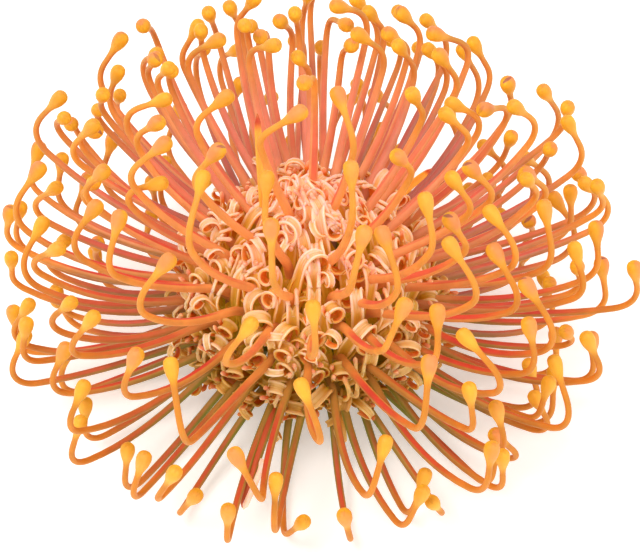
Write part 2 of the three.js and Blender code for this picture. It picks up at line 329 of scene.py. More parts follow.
def style_path(traits, steps):
    """Points along a style from the crown to its tip, its upper side there, and its length.

    All are in mm from the head's centre."""
    length = traits["leg"] + traits["hook"] + traits["tail"] + PRESENTER_LENGTH
    step = length / steps
    along = (np.arange(steps) + 0.5) * step
    on_leg = np.minimum(1, along / traits["leg"])
    on_hook = np.clip((along - traits["leg"]) / traits["hook"], 0, 1)
    turned = 0.5 * on_hook + 0.5 * on_hook * on_hook * (3 - 2 * on_hook)
    angle = traits["start"] + (traits["bend"] - traits["start"]) * on_leg ** LEG_CURVE
    angle = angle + (traits["tip"] - traits["bend"]) * turned
    lean = traits["lean"] + traits["sway"] * (2 * on_leg - 1)
    forward = np.stack([np.sin(angle) * np.cos(lean), np.sin(angle) * np.sin(lean), np.cos(angle)], 1)
    inner = np.stack([-np.cos(angle) * np.cos(lean), -np.cos(angle) * np.sin(lean), np.sin(angle)], 1)
    sideways = np.stack([-np.sin(lean), np.cos(lean), np.zeros_like(lean)], 1)
    twist = (traits["twist"] * turned)[:, None]
    direction = forward * np.cos(twist) + sideways * np.sin(twist)
    first = CROWN_RADIUS * np.array([math.sin(traits["polar"]), 0, math.cos(traits["polar"])])
    points = np.vstack([first, first + np.cumsum(direction, 0) * step])
    inner = np.vstack([inner[:1], inner])
    return turned_about_axis(points, traits["azimuth"]), turned_about_axis(inner, traits["azimuth"]), length


print("length of the first style (mm):", round(style_path(draw_traits(RINGS[0], 0, 0, 0), 1)[2], 2))

# %% The gap between styles
STYLE_BASE_RADIUS = 0.75  # mm, as the CAD has them
STYLE_NECK_RADIUS = 0.52
PRESENTER_BULGE_AT = 0.62
PRESENTER_BULGE_RADIUS = 1.4
PATH_STEPS = 44


def cad_radius(distance, length):
    """Radius of the CAD's style and presenter, which the clearance between florets was measured with."""
    neck = length - PRESENTER_LENGTH
    bulge = neck + PRESENTER_BULGE_AT * PRESENTER_LENGTH
    on_style = STYLE_BASE_RADIUS + (STYLE_NECK_RADIUS - STYLE_BASE_RADIUS) * distance / neck
    swell = PRESENTER_BULGE_RADIUS - STYLE_NECK_RADIUS
    on_club = STYLE_NECK_RADIUS + swell * (distance - neck) / (bulge - neck)
    return np.where(distance < neck, on_style, np.where(distance < bulge, on_club, PRESENTER_BULGE_RADIUS))


def style_outline(traits):
    """Points along a style and its radius at each."""
    points, _, length = style_path(traits, PATH_STEPS)
    return points, cad_radius(np.arange(PATH_STEPS + 1) * length / PATH_STEPS, length)


def smallest_gap(outline, others):
    """The smallest gap (mm) from one style to any of the others."""
    if not others:
        return math.inf
    points, radius = outline
    taken = np.vstack([points for points, _ in others])
    taken_radius = np.concatenate([radius for _, radius in others])
    apart = np.linalg.norm(points[:, None] - taken[None], axis=2)
    return (apart - radius[:, None] - taken_radius[None]).min()


print("thickest part of a presenter (mm):", 2 * PRESENTER_BULGE_RADIUS)

# %% Lay out every floret
CLEARANCE = 0.45  # mm
MOST_TRIES = 60
LEVELS = {"crown": (0, 1, 2), "shoulder": (3, 4), "lower": (5, 6, 7)}  # the rings of each level


def lay_out_florets():
    """Ring number and traits of every floret; one whose style would touch an earlier one is drawn again."""
    florets = []
    outlines = []
    for ring_index, ring in enumerate(RINGS):
        for place in range(ring["count"]):
            for attempt in range(MOST_TRIES):
                traits = draw_traits(ring, place, len(florets), attempt)
                outline = style_outline(traits)
                if smallest_gap(outline, outlines) >= CLEARANCE:
                    break
            outlines.append(outline)
            florets.append(dict(ring=ring_index, number=len(florets), traits=traits))
    return florets


florets = lay_out_florets()
levels = {name: [f for f in florets if f["ring"] in rings] for name, rings in LEVELS.items()}

print("florets by level:", {name: len(members) for name, members in levels.items()})

# %% [markdown]
# ## Pistils
#
# A pistil is one piece: a wiry style, about 1.5 mm thick where it leaves the flower and 1 mm under its
# tip, and the club that carries the pollen. One straight pistil could be bent by a curve modifier, but
# here every style has a curve of its own, so a ring swept along a path is simpler. The paths are strings
# of points whose attributes carry the radius, the direction of the upper side and how far along they are,
# and a Geometry Nodes tree sweeps a ring of points along them. The club is part of the sweep: the radius
# swells and closes in a rounded end. Rings of points lie closer together where the style hooks and where
# the club swells.

# %% How thick the living pistil is
LIVING_BASE_RADIUS = (0.86, 0.68)  # mm, of the crown's styles and of the lowest ones
LIVING_NECK_RADIUS = 0.52
CLUB_START = 5.4  # the club begins to swell this far before the end
CLUB_VARIES = 0.06
CLUB_PROFILE = [  # part of the club's length, radius in mm
    (0, 0.5), (0.14, 0.53), (0.28, 0.66), (0.4, 0.88), (0.52, 1.1), (0.64, 1.24), (0.76, 1.29), (0.88, 1.18),
    (0.95, 0.9), (0.985, 0.55), (1, 0.12),
]


def pistil_radius(distance, length, tone, ring):
    """Radius of the living pistil (mm): a slow taper, then a club that widens and has a rounded end."""
    start = length - CLUB_START
    taper = np.clip(distance / start, 0, 1)
    crown_base, low_base = LIVING_BASE_RADIUS
    base = crown_base + (low_base - crown_base) * ring / LAST_RING
    style = base + (LIVING_NECK_RADIUS - base) * taper ** 0.9
    club = (distance - start) / CLUB_START
    on_club = np.interp(club, *zip(*CLUB_PROFILE)) * (1 + CLUB_VARIES * tone)
    return np.where(club < 0, style, np.minimum(on_club + 0.02, style + on_club))


print("thickest part of a club (mm):", 2 * max(radius for _, radius in CLUB_PROFILE))

# %% Where the rings of points lie along one pistil
BELOW_CROWN = 9.0  # mm; the pistil starts this deep inside its perianth
LEG_RINGS = 13
HOOK_RINGS = 20
CLUB_RINGS = 17


def ring_places(traits, length):
    """Distances from the crown at which the sweep has a ring of points."""
    neck = length - CLUB_START
    leg = np.linspace(-BELOW_CROWN, traits["leg"], LEG_RINGS, endpoint=False)
    hook = np.linspace(traits["leg"], neck, HOOK_RINGS, endpoint=False)
    club = neck + CLUB_START * np.sin(np.linspace(0, 1, CLUB_RINGS) * math.pi / 2)
    return np.concatenate([leg, hook, club])


print("rings of points on a pistil:", LEG_RINGS + HOOK_RINGS + CLUB_RINGS)

# %% The points of one pistil
MOST_LEAN = 65  # degrees that the perianths lean from straight outwards towards the crown
FINE_STEPS = 240
FOOT_STEPS = 24


def lean_of(polar):
    """How far a floret's perianth leans towards the crown from straight outwards."""
    return math.radians(MOST_LEAN) * smoothstep((math.degrees(polar) + 20) / 70)


def sampled(places, distance, rows):
    """Rows of three numbers, known at each distance, read off at other places."""
    return np.stack([np.interp(places, distance, rows[:, i]) for i in range(3)], 1)


def pistil_points(floret):
    """Points, upper side, radius and shading values of one pistil."""
    traits = floret["traits"]
    tone = own(floret["number"], "tone")
    path, inner, length = style_path(traits, FINE_STEPS)
    below = np.linspace(-BELOW_CROWN, 0, FOOT_STEPS, endpoint=False)
    heading = traits["start"] + lean_of(traits["polar"]) * np.linspace(-0.7, 0, FOOT_STEPS, endpoint=False)
    steps = np.stack([np.sin(heading), 0 * heading, np.cos(heading)], 1) * BELOW_CROWN / FOOT_STEPS
    steps = turned_about_axis(steps, traits["azimuth"])
    path = np.vstack([path[0] - np.cumsum(steps[::-1], 0)[::-1], path])
    inner = np.vstack([np.repeat(inner[:1], len(below), 0), inner])
    distance = np.concatenate([below, np.arange(FINE_STEPS + 1) * length / FINE_STEPS])
    places = ring_places(traits, length)
    neck = length - CLUB_START
    return dict(
        points=sampled(places, distance, path),
        upper=sampled(places, distance, inner),
        thick=pistil_radius(places, length, tone, floret["ring"]),
        along=np.clip(places / neck, 0, 1),
        club=np.clip((places - neck) / CLUB_START, 0, 1),
        level=np.full(len(places), floret["ring"] / LAST_RING),
        tone=np.full(len(places), tone),
    )


print("points on the first pistil:", len(pistil_points(florets[0])["thick"]))

# %% Strings of points for one level's pistils
def set_values(mesh, **values):
    """Stores values on a mesh's points: whole numbers, numbers, or rows of three as vectors."""
    for key, numbers in values.items():
        numbers = np.array(numbers)
        whole = numbers.dtype.kind == "i"
        kind, field = ("INT", "value") if whole else ("FLOAT", "value")
        if numbers.ndim == 2:
            kind, field = "FLOAT_VECTOR", "vector"
        flat = numbers.astype(np.int32 if whole else np.float32).ravel()
        mesh.attributes.new(key, kind, "POINT").data.foreach_set(field, flat)


def path_object(name, members):
    """A mesh of edges only, one string of points for each pistil, with the values that the sweep reads."""
    strings = [pistil_points(f) for f in members]
    merged = {key: np.concatenate([s[key] for s in strings]) for key in strings[0]}
    edges = []
    first = 0
    for string in strings:
        last = first + len(string["thick"])
        edges += [(i, i + 1) for i in range(first, last - 1)]
        first = last
    mesh = bpy.data.meshes.new(name)
    mesh.from_pydata((merged.pop("points") * MM + CENTRE).tolist(), edges, [])
    merged["thick"] = merged["thick"] * MM
    set_values(mesh, **merged)
    return put_in_scene(name, mesh)


print("points of the crown's pistils:", sum(len(pistil_points(f)["thick"]) for f in levels["crown"]))

# %% A tree with named inputs
GIVEN = ("NodeGroupInput", {}, (), "Geometry")
RESULT = ("NodeGroupOutput", {}, ("Geometry",), None)


def tree_with_inputs(name, **inputs):
    """A Geometry Nodes tree that takes a geometry and these inputs, and the sockets that it is given."""
    tree = bpy.data.node_groups.new(name, "GeometryNodeTree")
    tree.interface.new_socket("Geometry", in_out="INPUT", socket_type="NodeSocketGeometry")
    for label, kind in inputs.items():
        tree.interface.new_socket(label, in_out="INPUT", socket_type=f"NodeSocket{kind}")
    tree.interface.new_socket("Geometry", in_out="OUTPUT", socket_type="NodeSocketGeometry")
    return tree, add(tree, GIVEN).node.outputs


def grown(holder, tree, name, **values):
    """Runs a tree on an object and returns the result as a plain mesh object; the holder is removed."""
    modifier = holder.modifiers.new("grow", "NODES")
    modifier.node_group = tree
    for item in tree.interface.items_tree:
        if item.in_out == "INPUT" and item.name in values:
            modifier[item.identifier] = values[item.name]
    evaluated = holder.evaluated_get(bpy.context.evaluated_depsgraph_get())
    mesh = bpy.data.meshes.new_from_object(evaluated)
    mesh.name = name
    piece = put_in_scene(name, mesh)
    holder.modifiers.clear()
    bpy.data.objects.remove(holder)
    return piece


print("rows for the ends of a tree:", GIVEN[0], RESULT[0])

# %% The sweep, as a Geometry Nodes tree
NAMED = ("GeometryNodeInputNamedAttribute", {"data_type": "FLOAT"}, ("Name",), "Attribute")
STORE = ("GeometryNodeStoreNamedAttribute", {"data_type": "FLOAT", "domain": "POINT"},
         ("Geometry", "Name", "Value"), "Geometry")
CURVE = ("GeometryNodeMeshToCurve", {}, ("Mesh",), "Curve")
UPPER_SIDE = ("GeometryNodeSetCurveNormal", {"mode": "FREE"}, ("Curve", "Normal"), "Curve")
CIRCLE = ("GeometryNodeCurvePrimitiveCircle", {}, ("Resolution", "Radius"), "Curve")
POSITION = ("GeometryNodeInputPosition", {}, (), "Position")
AXES = ("ShaderNodeSeparateXYZ", {}, ("Vector",), "X")
TIMES = ("ShaderNodeMath", {"operation": "MULTIPLY"}, (0, 1), 0)
SWEEP = ("GeometryNodeCurveToMesh", {"Fill__Caps": True}, ("Curve", "Profile Curve", "Scale"), "Mesh")
SMOOTH = ("GeometryNodeSetShadeSmooth", {}, ("Geometry",), "Geometry")
REAL = ("GeometryNodeRealizeInstances", {}, ("Geometry",), "Geometry")
FINISH = ("GeometryNodeSetMaterial", {}, ("Geometry", "Material"), "Geometry")

pistil_sweep, given = tree_with_inputs("pistil_sweep", Sides="Int", Thickness="Float", Finish="Material")
tree = pistil_sweep
curve = add(tree, CURVE, given["Geometry"])
curve = add(tree, UPPER_SIDE, curve, add(tree, NAMED, "upper", data_type="FLOAT_VECTOR"))
ring = add(tree, CIRCLE, given["Sides"], 1.0)
axes = add(tree, AXES, add(tree, POSITION)).node.outputs
ring = add(tree, STORE, ring, "upper_side", axes["X"])  # 1 on the upper side of a style, -1 underneath
ring = add(tree, STORE, ring, "flank", axes["Y"])  # 1 and -1 on its two flanks
thick = add(tree, TIMES, add(tree, NAMED, "thick"), given["Thickness"])
tube = add(tree, SMOOTH, add(tree, SWEEP, curve, ring, thick))
add(tree, RESULT, add(tree, FINISH, add(tree, REAL, tube), given["Finish"]))

print("nodes in the sweep:", len(pistil_sweep.nodes))

# %% [markdown]
# ## The pistil's skin
#
# A living style has a waxy, slightly glossy skin over juicy tissue, so light bleeds through it a little.
# It grew, so no colour on it has a hard edge. An image could carry the colours, but they follow how far
# along a style a place is, on which side, and how low on the head the style stands. The sweep's attributes
# say just that, so the colours stay on the plant from every side.
#
# The skin is laid on in coats, each mixed over the one before by a mask from 0 to 1. First come the two
# sides of a style. High on the head they are orange above and golden below, and lower down both grow
# browner and greener. Towards the back of the head they turn salmon above and a dusty brown-pink below.
# This change from front to back is painted light and shade across the head.

# %% Pistil material: what it reads
# MIX and TINT take a mask and two colours. RAMP and LINE take a value, the range that it is read over, and
# what the ends of that range become: 0 and 1, unless two more numbers follow.
MIX = ("ShaderNodeMix", {"data_type": "RGBA", "blend_type": "MIX"}, (0, 6, 7), 2)
TINT = ("ShaderNodeMix", {"data_type": "RGBA", "blend_type": "MULTIPLY"}, (0, 6, 7), 2)
RAMP = ("ShaderNodeMapRange", {"interpolation_type": "SMOOTHSTEP"}, (0, 1, 2, 3, 4), 0)
LINE = ("ShaderNodeMapRange", {"interpolation_type": "LINEAR"}, (0, 1, 2, 3, 4), 0)
PLUS = ("ShaderNodeMath", {"operation": "ADD"}, (0, 1), 0)
OVER = ("ShaderNodeMath", {"operation": "DIVIDE"}, (0, 1), 0)
SIZE_OF = ("ShaderNodeMath", {"operation": "ABSOLUTE"}, (0,), 0)
VALUE = ("ShaderNodeAttribute", {}, (), "Fac")
OBJECT_PLACE = ("ShaderNodeTexCoord", {}, (), "Object")
NOISE = ("ShaderNodeTexNoise", {}, ("Vector", "Scale", "Detail"), "Fac")
GREY = ("ShaderNodeCombineColor", {}, ("Red", "Green", "Blue"), "Color")
BUMP = ("ShaderNodeBump", {}, ("Height", "Strength", "Distance"), "Normal")


def per_metre(size):
    """The scale of a noise whose patches are this many mm across: how many fit in a metre, in tens."""
    return round(1 / (size * MM), -1)


living_skin, tree = empty_material("living_style_and_pollen")
SWEEP_VALUES = ("along", "club", "level", "tone", "upper_side", "flank")
along, club, level, tone, upper, flank = [add(tree, VALUE, attribute_name=name) for name in SWEEP_VALUES]
place = add(tree, OBJECT_PLACE)
blotch = add(tree, NOISE, place, per_metre(3.85), 3.0)  # blotches a few mm long, as on a ripening fruit
towards_back = add(tree, OVER, add(tree, AXES, place).node.outputs["Y"], MM)
# Painted light and shade: this mask carries the colour change from the front of the head to its back.
front_to_back = add(tree, RAMP, towards_back, -28.0, 20.0)  # mm, from the front of the head to its back
warm = add(tree, RAMP, tone, -0.7, 0.9)

print("scale of the blotches:", per_metre(3.85))

# %% Pistil material: upper side and underside
low_down = add(tree, RAMP, level, 0.3, 0.9)
back_high = add(tree, MIX, warm, "#E2947A", "#EC9E6A")
back_low = add(tree, MIX, warm, "#DE9276", "#EA9E6C")
back_upper = add(tree, MIX, level, back_high, back_low)
front_upper = add(tree, MIX, low_down, "#F6A050", "#C49650")
base_upper = add(tree, MIX, front_to_back, front_upper, back_upper)

golden_under = add(tree, MIX, warm, "#F09654", "#F8A452")
old_under = add(tree, MIX, front_to_back, "#AEA058", add(tree, MIX, warm, "#C87C6C", "#C88C5C"))
base_under = add(tree, MIX, low_down, golden_under, old_under)

# Painted shade: some styles at the back, picked by their tone, are dulled towards a dusty rose.
deep_fan_shade = add(tree, TIMES, add(tree, RAMP, tone, 0.3, -0.7), add(tree, RAMP, level, 0.3, 0.55))
deep_fan_shade = add(tree, TIMES, add(tree, TIMES, deep_fan_shade, front_to_back), 0.8)
base_upper = add(tree, MIX, deep_fan_shade, base_upper, "#B06E62")

upper_blotched = add(tree, PLUS, upper, add(tree, TIMES, blotch, 0.3))
skin = add(tree, MIX, add(tree, RAMP, upper_blotched, -0.75, 0.45), base_under, base_upper)

print("nodes so far:", len(tree.nodes))

# %% [markdown]
# Next come the marks of the style. A red stripe runs down the middle of its upper side, a little to one
# side or the other, and fades at both ends and towards the back. The flanks are darkened brown with painted
# shade, most of all on the lowest styles, which start olive green inside the shade of the head. Towards the
# hook every style turns golden orange, and on the far back it is duller, which is painted shade.

# %% Pistil material: the red stripe
aside = add(tree, TIMES, flank, add(tree, TIMES, tone, 0.7))
stripe = add(tree, RAMP, add(tree, PLUS, upper, aside), 0.7, 0.88)
fade = add(tree, TIMES, add(tree, RAMP, along, 0.03, 0.25), add(tree, RAMP, along, 0.9, 0.55))
stripe = add(tree, TIMES, stripe, fade)
force = add(tree, RAMP, tone, -1.0, 0.6, 0.3, 0.7)
force = add(tree, PLUS, force, add(tree, RAMP, level, 0.15, 0.6, 0.0, 0.3))
force = add(tree, TIMES, force, add(tree, RAMP, front_to_back, 0.65, 1.0, 1.0, 0.5))
skin = add(tree, MIX, add(tree, TIMES, stripe, force), skin, "#E35044")

print("nodes so far:", len(tree.nodes))

# %% Pistil material: painted shade on the flanks, green foot and golden hook
# Painted shade: the flanks of a style are darkened brown, most of all low on the head.
flank_shade_colour = add(tree, MIX, add(tree, RAMP, level, 0.1, 0.9), "#DA8644", "#A87238")
side = add(tree, RAMP, add(tree, SIZE_OF, flank), 0.6, 1.0)
side = add(tree, TIMES, side, add(tree, RAMP, level, 0.3, 0.8, 0.2, 0.6))
skin = add(tree, MIX, side, skin, flank_shade_colour)

green = add(tree, TIMES, add(tree, RAMP, level, 0.55, 0.95), add(tree, RAMP, along, 0.6, 0.1))
green = add(tree, TIMES, green, add(tree, RAMP, upper, 0.95, 0.5, 0.35, 1.0))
green = add(tree, TIMES, green, add(tree, RAMP, front_to_back, 0.0, 1.0, 1.0, 0.25))
skin = add(tree, MIX, green, skin, "#8C9236")

on_top = add(tree, RAMP, upper, -0.4, 0.8)
hook_colour = add(tree, MIX, on_top, "#E69A3A", "#EA9236")
# Painted shade: the hooks on the far back are duller.
back_hook = add(tree, MIX, on_top, "#C48038", "#D68444")
hook_colour = add(tree, MIX, add(tree, RAMP, front_to_back, 0.8, 1.0, 0.0, 0.6), hook_colour, back_hook)
skin = add(tree, MIX, add(tree, RAMP, along, 0.42, 0.88), skin, hook_colour)

# The low styles at the front stand in the head's own shade and are a little duller all over.
shaded = add(tree, TIMES, add(tree, RAMP, front_to_back, 0.9, 0.0), add(tree, RAMP, level, 0.3, 0.65))
skin = add(tree, TINT, 1.0, skin, add(tree, MIX, shaded, "#FFFFFF", "#EADABC"))

print("nodes so far:", len(tree.nodes))

# %% [markdown]
# The club is an even golden yellow, with an orange blush on its outer shoulder, painted shade on its
# flanks, and a fine slit across its blunt end, where the pollen of another flower takes. The slit is far
# too fine to model, so it is painted where the flank's value runs through zero.

# %% Pistil material: the club
gold = add(tree, RAMP, club, 0.0, 0.55)
skin = add(tree, MIX, gold, skin, "#F5B42C")
blush = add(tree, TIMES, add(tree, RAMP, upper, 0.1, -0.9), add(tree, RAMP, club, 0.15, 0.6))
blush = add(tree, TIMES, blush, add(tree, RAMP, tone, -0.6, 0.8, 0.15, 0.85))
skin = add(tree, MIX, blush, skin, "#EC8A58")

# Painted shade: the club's flanks are darkened to a browner orange.
club_flank_shade = add(tree, TIMES, add(tree, RAMP, add(tree, SIZE_OF, flank), 0.45, 0.95), gold)
skin = add(tree, MIX, add(tree, TIMES, club_flank_shade, 0.45), skin, "#DC8C26")

end_radius = add(tree, LINE, club, 1.0, 0.93, 0.0, 1.0)  # the flank values run together towards the very end
slit = add(tree, RAMP, add(tree, SIZE_OF, add(tree, TIMES, flank, end_radius)), 0.16, 0.04)
slit = add(tree, TIMES, slit, add(tree, RAMP, club, 0.93, 0.97))
red_slits = add(tree, RAMP, tone, 0.75, 0.85)
slit = add(tree, TIMES, slit, add(tree, RAMP, tone, 0.75, 0.85, 0.3, 0.9))
skin = add(tree, MIX, slit, skin, add(tree, MIX, red_slits, "#C47A2A", "#A45C4C"))

print("nodes so far:", len(tree.nodes))

# %% [markdown]
# Last come the mottle and the gloss. Water-filled tissue has an IOR of about 1.4, and the wax leaves it
# half glossy. A little light enters the skin and comes out redder, half a millimetre away. A weak glow
# stands for the light that many styles throw at each other.

# %% Pistil material: mottle and gloss
mottle = add(tree, RAMP, blotch, 0.35, 0.7, 0.88, 1.0)
skin = add(tree, TINT, 1.0, skin, add(tree, GREY, mottle, mottle, mottle))
grain = add(tree, NOISE, place, per_metre(0.556), 2.0)  # drawn coarser than the real cells, so that it shows
bump = add(tree, BUMP, grain, 0.25, 0.1 * MM)
surface = add(
    tree, SHADER, Base__Color=skin, Emission__Color=skin, Emission__Strength=0.1, Roughness=0.48, IOR=1.4,
    Specular__IOR__Level=0.35, Subsurface__Weight=0.25, Subsurface__Radius=(1.0, 0.45, 0.2),
    Subsurface__Scale=0.6 * MM, Normal=bump)
add(tree, SURFACE, surface)

print("nodes in the pistil's skin:", len(tree.nodes))

# %% Grow the pistils, level by level
PISTIL_SIDES = 14
pieces = {}
for level_name, members in levels.items():
    name = f"{level_name}_pistils"
    paths = path_object(f"{level_name}_paths", members)
    pieces[name] = grown(paths, pistil_sweep, name, Sides=PISTIL_SIDES, Thickness=1.0, Finish=living_skin)
    print(name, "faces:", len(pieces[name].data.polygons))

# %% [markdown]
# ## Perianths
#
# When a floret opens, its tube splits. Three of the four tepals stay joined as one wide strap and roll
# back one way, and the fourth rolls back alone the other way as a narrow strap, like two wood shavings on
# one stick. A strap is a shallow channel with thicker pale rims. The joined one parts again near its end
# into prongs, which carry the empty, spoon-shaped tips. A flat strip could be rolled with a bend modifier,
# but a real roll tightens, twists and swerves as it goes, so the strap is worked out step by step. Eight
# different curls are modelled, and Geometry Nodes stands one on every floret, with a turn, a size and a
# tone of its own, so that the same curl is hard to spot twice.

# %% The path of something that rolls up
def rolled_path(start, heading, outside, length, steps, rates, finer=1.0):
    """Centre line and frames of a strap.

    rates(u) gives bend, swerve and twist per millimetre at u from 0 to 1. With finer below 1 the steps get
    shorter towards the end."""
    heading = np.array(heading, float)
    outside = np.array(outside, float)
    across = np.cross(heading, outside)
    point = np.array(start, float)
    stops = (np.arange(steps + 1) / steps) ** finer
    rows = [(point, heading, outside, across)]
    for before, after in zip(stops[:-1], stops[1:]):
        step = length * (after - before)
        bend, swerve, twist = (rate * step for rate in rates((before + after) / 2))
        new_heading = heading - bend * outside + swerve * across
        new_outside = outside + bend * heading + twist * across
        heading = new_heading / np.linalg.norm(new_heading)
        new_outside -= heading * (new_outside @ heading)
        outside = new_outside / np.linalg.norm(new_outside)
        across = np.cross(heading, outside)
        point = point + heading * step
        rows.append((point, heading, outside, across))
    return [np.array(column) for column in zip(*rows)]


quarter_turn = rolled_path((0, 0, 0), (0, 0, 1), (1, 0, 0), 1.0, 40, lambda u: (math.pi / 2, 0, 0))

print("a quarter turn, 1 mm long, ends at (mm):", np.round(quarter_turn[0][-1], 2))

# %% The outlines of the straps
ROUND_SIDES = 8
ROUND_ANGLES = [2 * math.pi * (k + 0.5) / ROUND_SIDES for k in range(ROUND_SIDES)]
ROUND = [(math.cos(angle), math.sin(angle)) for angle in ROUND_ANGLES]

# A wide strap: its inner face from the left rim to the middle, and its back from the right to the middle.
CHANNEL_TOP = [(-1, 0.3), (-0.96, 0.64), (-0.85, 0.8), (-0.7, 0.68), (-0.52, 0.34), (-0.28, 0.08), (0, 0)]
CHANNEL_BACK = [(1, 0.05), (0.8, -0.28), (0.4, -0.4), (0, -0.42)]
CHANNEL = [
    *CHANNEL_TOP, *[(-x, rise) for x, rise in CHANNEL_TOP[-2::-1]],
    *CHANNEL_BACK, *[(-x, rise) for x, rise in CHANNEL_BACK[-2::-1]],
]

# A narrow strap, and the whole of its outline.
GUTTER = [
    (-1, 0.2), (-0.88, 0.6), (-0.6, 0.5), (-0.25, 0.22), (0.25, 0.22), (0.6, 0.5), (0.88, 0.6), (1, 0.2),
    (0.55, -0.5), (-0.55, -0.5),
]

print("points round a wide strap:", len(CHANNEL), "and a narrow one:", len(GUTTER))

# %% A strap round a path
WIDE, TUBE, NARROW, PRONG = 0.0, 0.25, 0.5, 1.0  # what a part is, for the material
NOTCH_FROM = 0.78  # part of a strap's length, from where its end is cut back between the prongs


def strap(path, outline, half_width, height, part, notch=0.0):
    """A closed strap with this outline round a path (mm), as vertices, faces and shading values."""
    points, heading, outside, across = path
    count, sides = len(points), len(outline)
    reached = np.concatenate([[0], np.cumsum(np.linalg.norm(np.diff(points, axis=0), axis=1))])
    whole = dict(vertices=[], faces=[], edge=[], face=[], how_far=[], part=[part] * (count * sides))
    for i in range(count):
        u = reached[i] / reached[-1]
        cut = notch * smoothstep((u - NOTCH_FROM) / (1 - NOTCH_FROM))
        for side, rise in outline:
            vertex = points[i] + across[i] * side * half_width(u) + outside[i] * rise * height(u)
            whole["vertices"].append(vertex - heading[i] * cut * max(0, 1 - abs(side)) ** 1.5)
            whole["edge"].append(abs(side))
            whole["face"].append(rise)
            whole["how_far"].append(u)
    for i in range(count - 1):
        for k in range(sides):
            a, b = i * sides + k, i * sides + (k + 1) % sides
            whole["faces"].append((a, b, b + sides, a + sides))
    whole["faces"].append(tuple(range(sides))[::-1])
    whole["faces"].append(tuple(range((count - 1) * sides, count * sides)))
    return whole


def joined(parts):
    """Several parts as one set of vertices, faces and values."""
    whole = {key: [] for key in parts[0]}
    for one in parts:
        first = len(whole["vertices"])
        whole["faces"] += [tuple(i + first for i in face) for face in one["faces"]]
        for key in whole:
            if key != "faces":
                whole[key] += list(one[key])
    return whole


def mesh_from(parts, name):
    """A mesh in metres from joined parts, with their values as attributes."""
    mesh = bpy.data.meshes.new(name)
    mesh.from_pydata((np.array(parts["vertices"]) * MM).tolist(), [], parts["faces"])
    set_values(mesh, **{key: np.array(parts[key], float) for key in ("edge", "face", "how_far", "part")})
    mesh.validate()
    return mesh


bent_strap = strap(quarter_turn, GUTTER, lambda u: 1.0, lambda u: 0.4, NARROW)

print("faces of a quarter turn of narrow strap:", len(bent_strap["faces"]))

# %% Stem and roll
ROLL_SHRINKS = 0.85  # the roll's radius at its end against that at its start
STEM_BENDS = 0.015  # per mm


def curl(start, heading, outside, spin, sway, screw, stem, roll, turn, steps):
    """The path of a strap: a stem that turns on itself and sways, then a roll that tightens a little."""
    end_roll = ROLL_SHRINKS * roll
    turn = math.radians(turn)
    length = stem + turn * (roll + end_roll) / 2
    tan_screw = math.tan(math.radians(screw))

    def rates(u):
        reach = u * length
        rolling = smoothstep((reach - stem * 0.75) / (stem * 0.3))
        radius = roll + (end_roll - roll) * max(0, reach - stem) / (length - stem)
        bend = rolling / radius + STEM_BENDS
        twist = math.radians(spin) / stem * (1 - rolling) + rolling * tan_screw / radius
        return bend, math.radians(sway) / stem * (1 - rolling), twist

    return rolled_path(start, heading, outside, length, steps, rates, finer=0.65)


def prong(path, way, loose, width):
    """A free end of the wide strap: it carries on from one rim, curls less if loose, and ends in a spoon."""
    points, heading, outside, across = (column[-3] for column in path)
    start = points + across * way * width * 0.72 + outside * 0.3
    length = 2.6 + loose

    def rates(u):
        return 0.62 - 1.0 * loose - 0.3 * u, way * 0.12 * (1 - u), way * 0.25

    def half_width(u):
        swell = 0.42 - 0.1 * u + 0.12 * smoothstep((u - 0.55) / 0.25)
        return swell * math.sqrt(max(0.03, 1 - (max(0, u - 0.72) / 0.28) ** 2))

    return strap(rolled_path(start, heading, outside, length, 8, rates), ROUND, half_width,
                 lambda u: half_width(u) * 0.9, PRONG)


bare_curl = curl((0, 0, 0), (0, 0, 1), (-1, 0, 0), 0, 0, 0, 10.0, 1.2, 300, 30)

print("a curl on a 10 mm stem ends at (mm):", np.round(bare_curl[0][-1], 1))

# %% The eight curls
# Each has a wide strap, given first: how it spins, sways and screws (degrees), its roll's radius (mm) and
# turn (degrees), the length of its stem against the usual, and how loose its two prongs are. Then comes
# the narrow strap: the side it leaves on, its roll's radius and turn, its spin, its stem against the wide
# one's, and its half width.
STEM_LENGTH = 12.8  # mm
CURLS = [
    dict(spin=75, sway=14, screw=8, roll=1.16, turn=330, stem=0.98, loose=(0.35, 0.15),
         narrow=(-60, 1.36, 200, -30, 0.92, 0.85)),
    dict(spin=-70, sway=-10, screw=-10, roll=1.20, turn=300, stem=1.05, loose=(0.2, 0.4),
         narrow=(70, 1.44, 160, 20, 0.9, 0.8)),
    dict(spin=10, sway=6, screw=6, roll=2.08, turn=42, stem=1.04, loose=(0.3, 0.55),
         narrow=(160, 1.10, 250, 30, 0.85, 0.75)),
    dict(spin=-20, sway=-8, screw=-6, roll=1.52, turn=165, stem=1.06, loose=(0.4, 0.1),
         narrow=(-100, 1.27, 230, 40, 0.9, 0.8)),
    dict(spin=42, sway=-12, screw=10, roll=1.36, turn=265, stem=0.94, loose=(0.3, 0.3),
         narrow=(60, 1.19, 240, 60, 0.95, 0.75)),
    dict(spin=-35, sway=12, screw=-12, roll=1.84, turn=190, stem=1.0, loose=(0.1, 0.35),
         narrow=(-70, 1.10, 220, -60, 0.92, 0.8)),
    dict(spin=-8, sway=4, screw=9, roll=2.24, turn=30, stem=1.0, loose=(0.5, 0.35),
         narrow=(200, 1.19, 260, 25, 0.85, 0.75)),
    dict(spin=-95, sway=-6, screw=-5, roll=1.12, turn=310, stem=0.96, loose=(0.2, 0.2),
         narrow=(60, 1.53, 150, 10, 0.95, 0.8)),
]

print("curls:", len(CURLS))

# %% One opened perianth
def wide_half(u):
    """Half the width of a wide strap (mm) at u from its split to its end: it widens on the stem."""
    return 0.82 + 0.32 * smoothstep(u / 0.45) - 0.1 * smoothstep((u - 0.7) / 0.3)


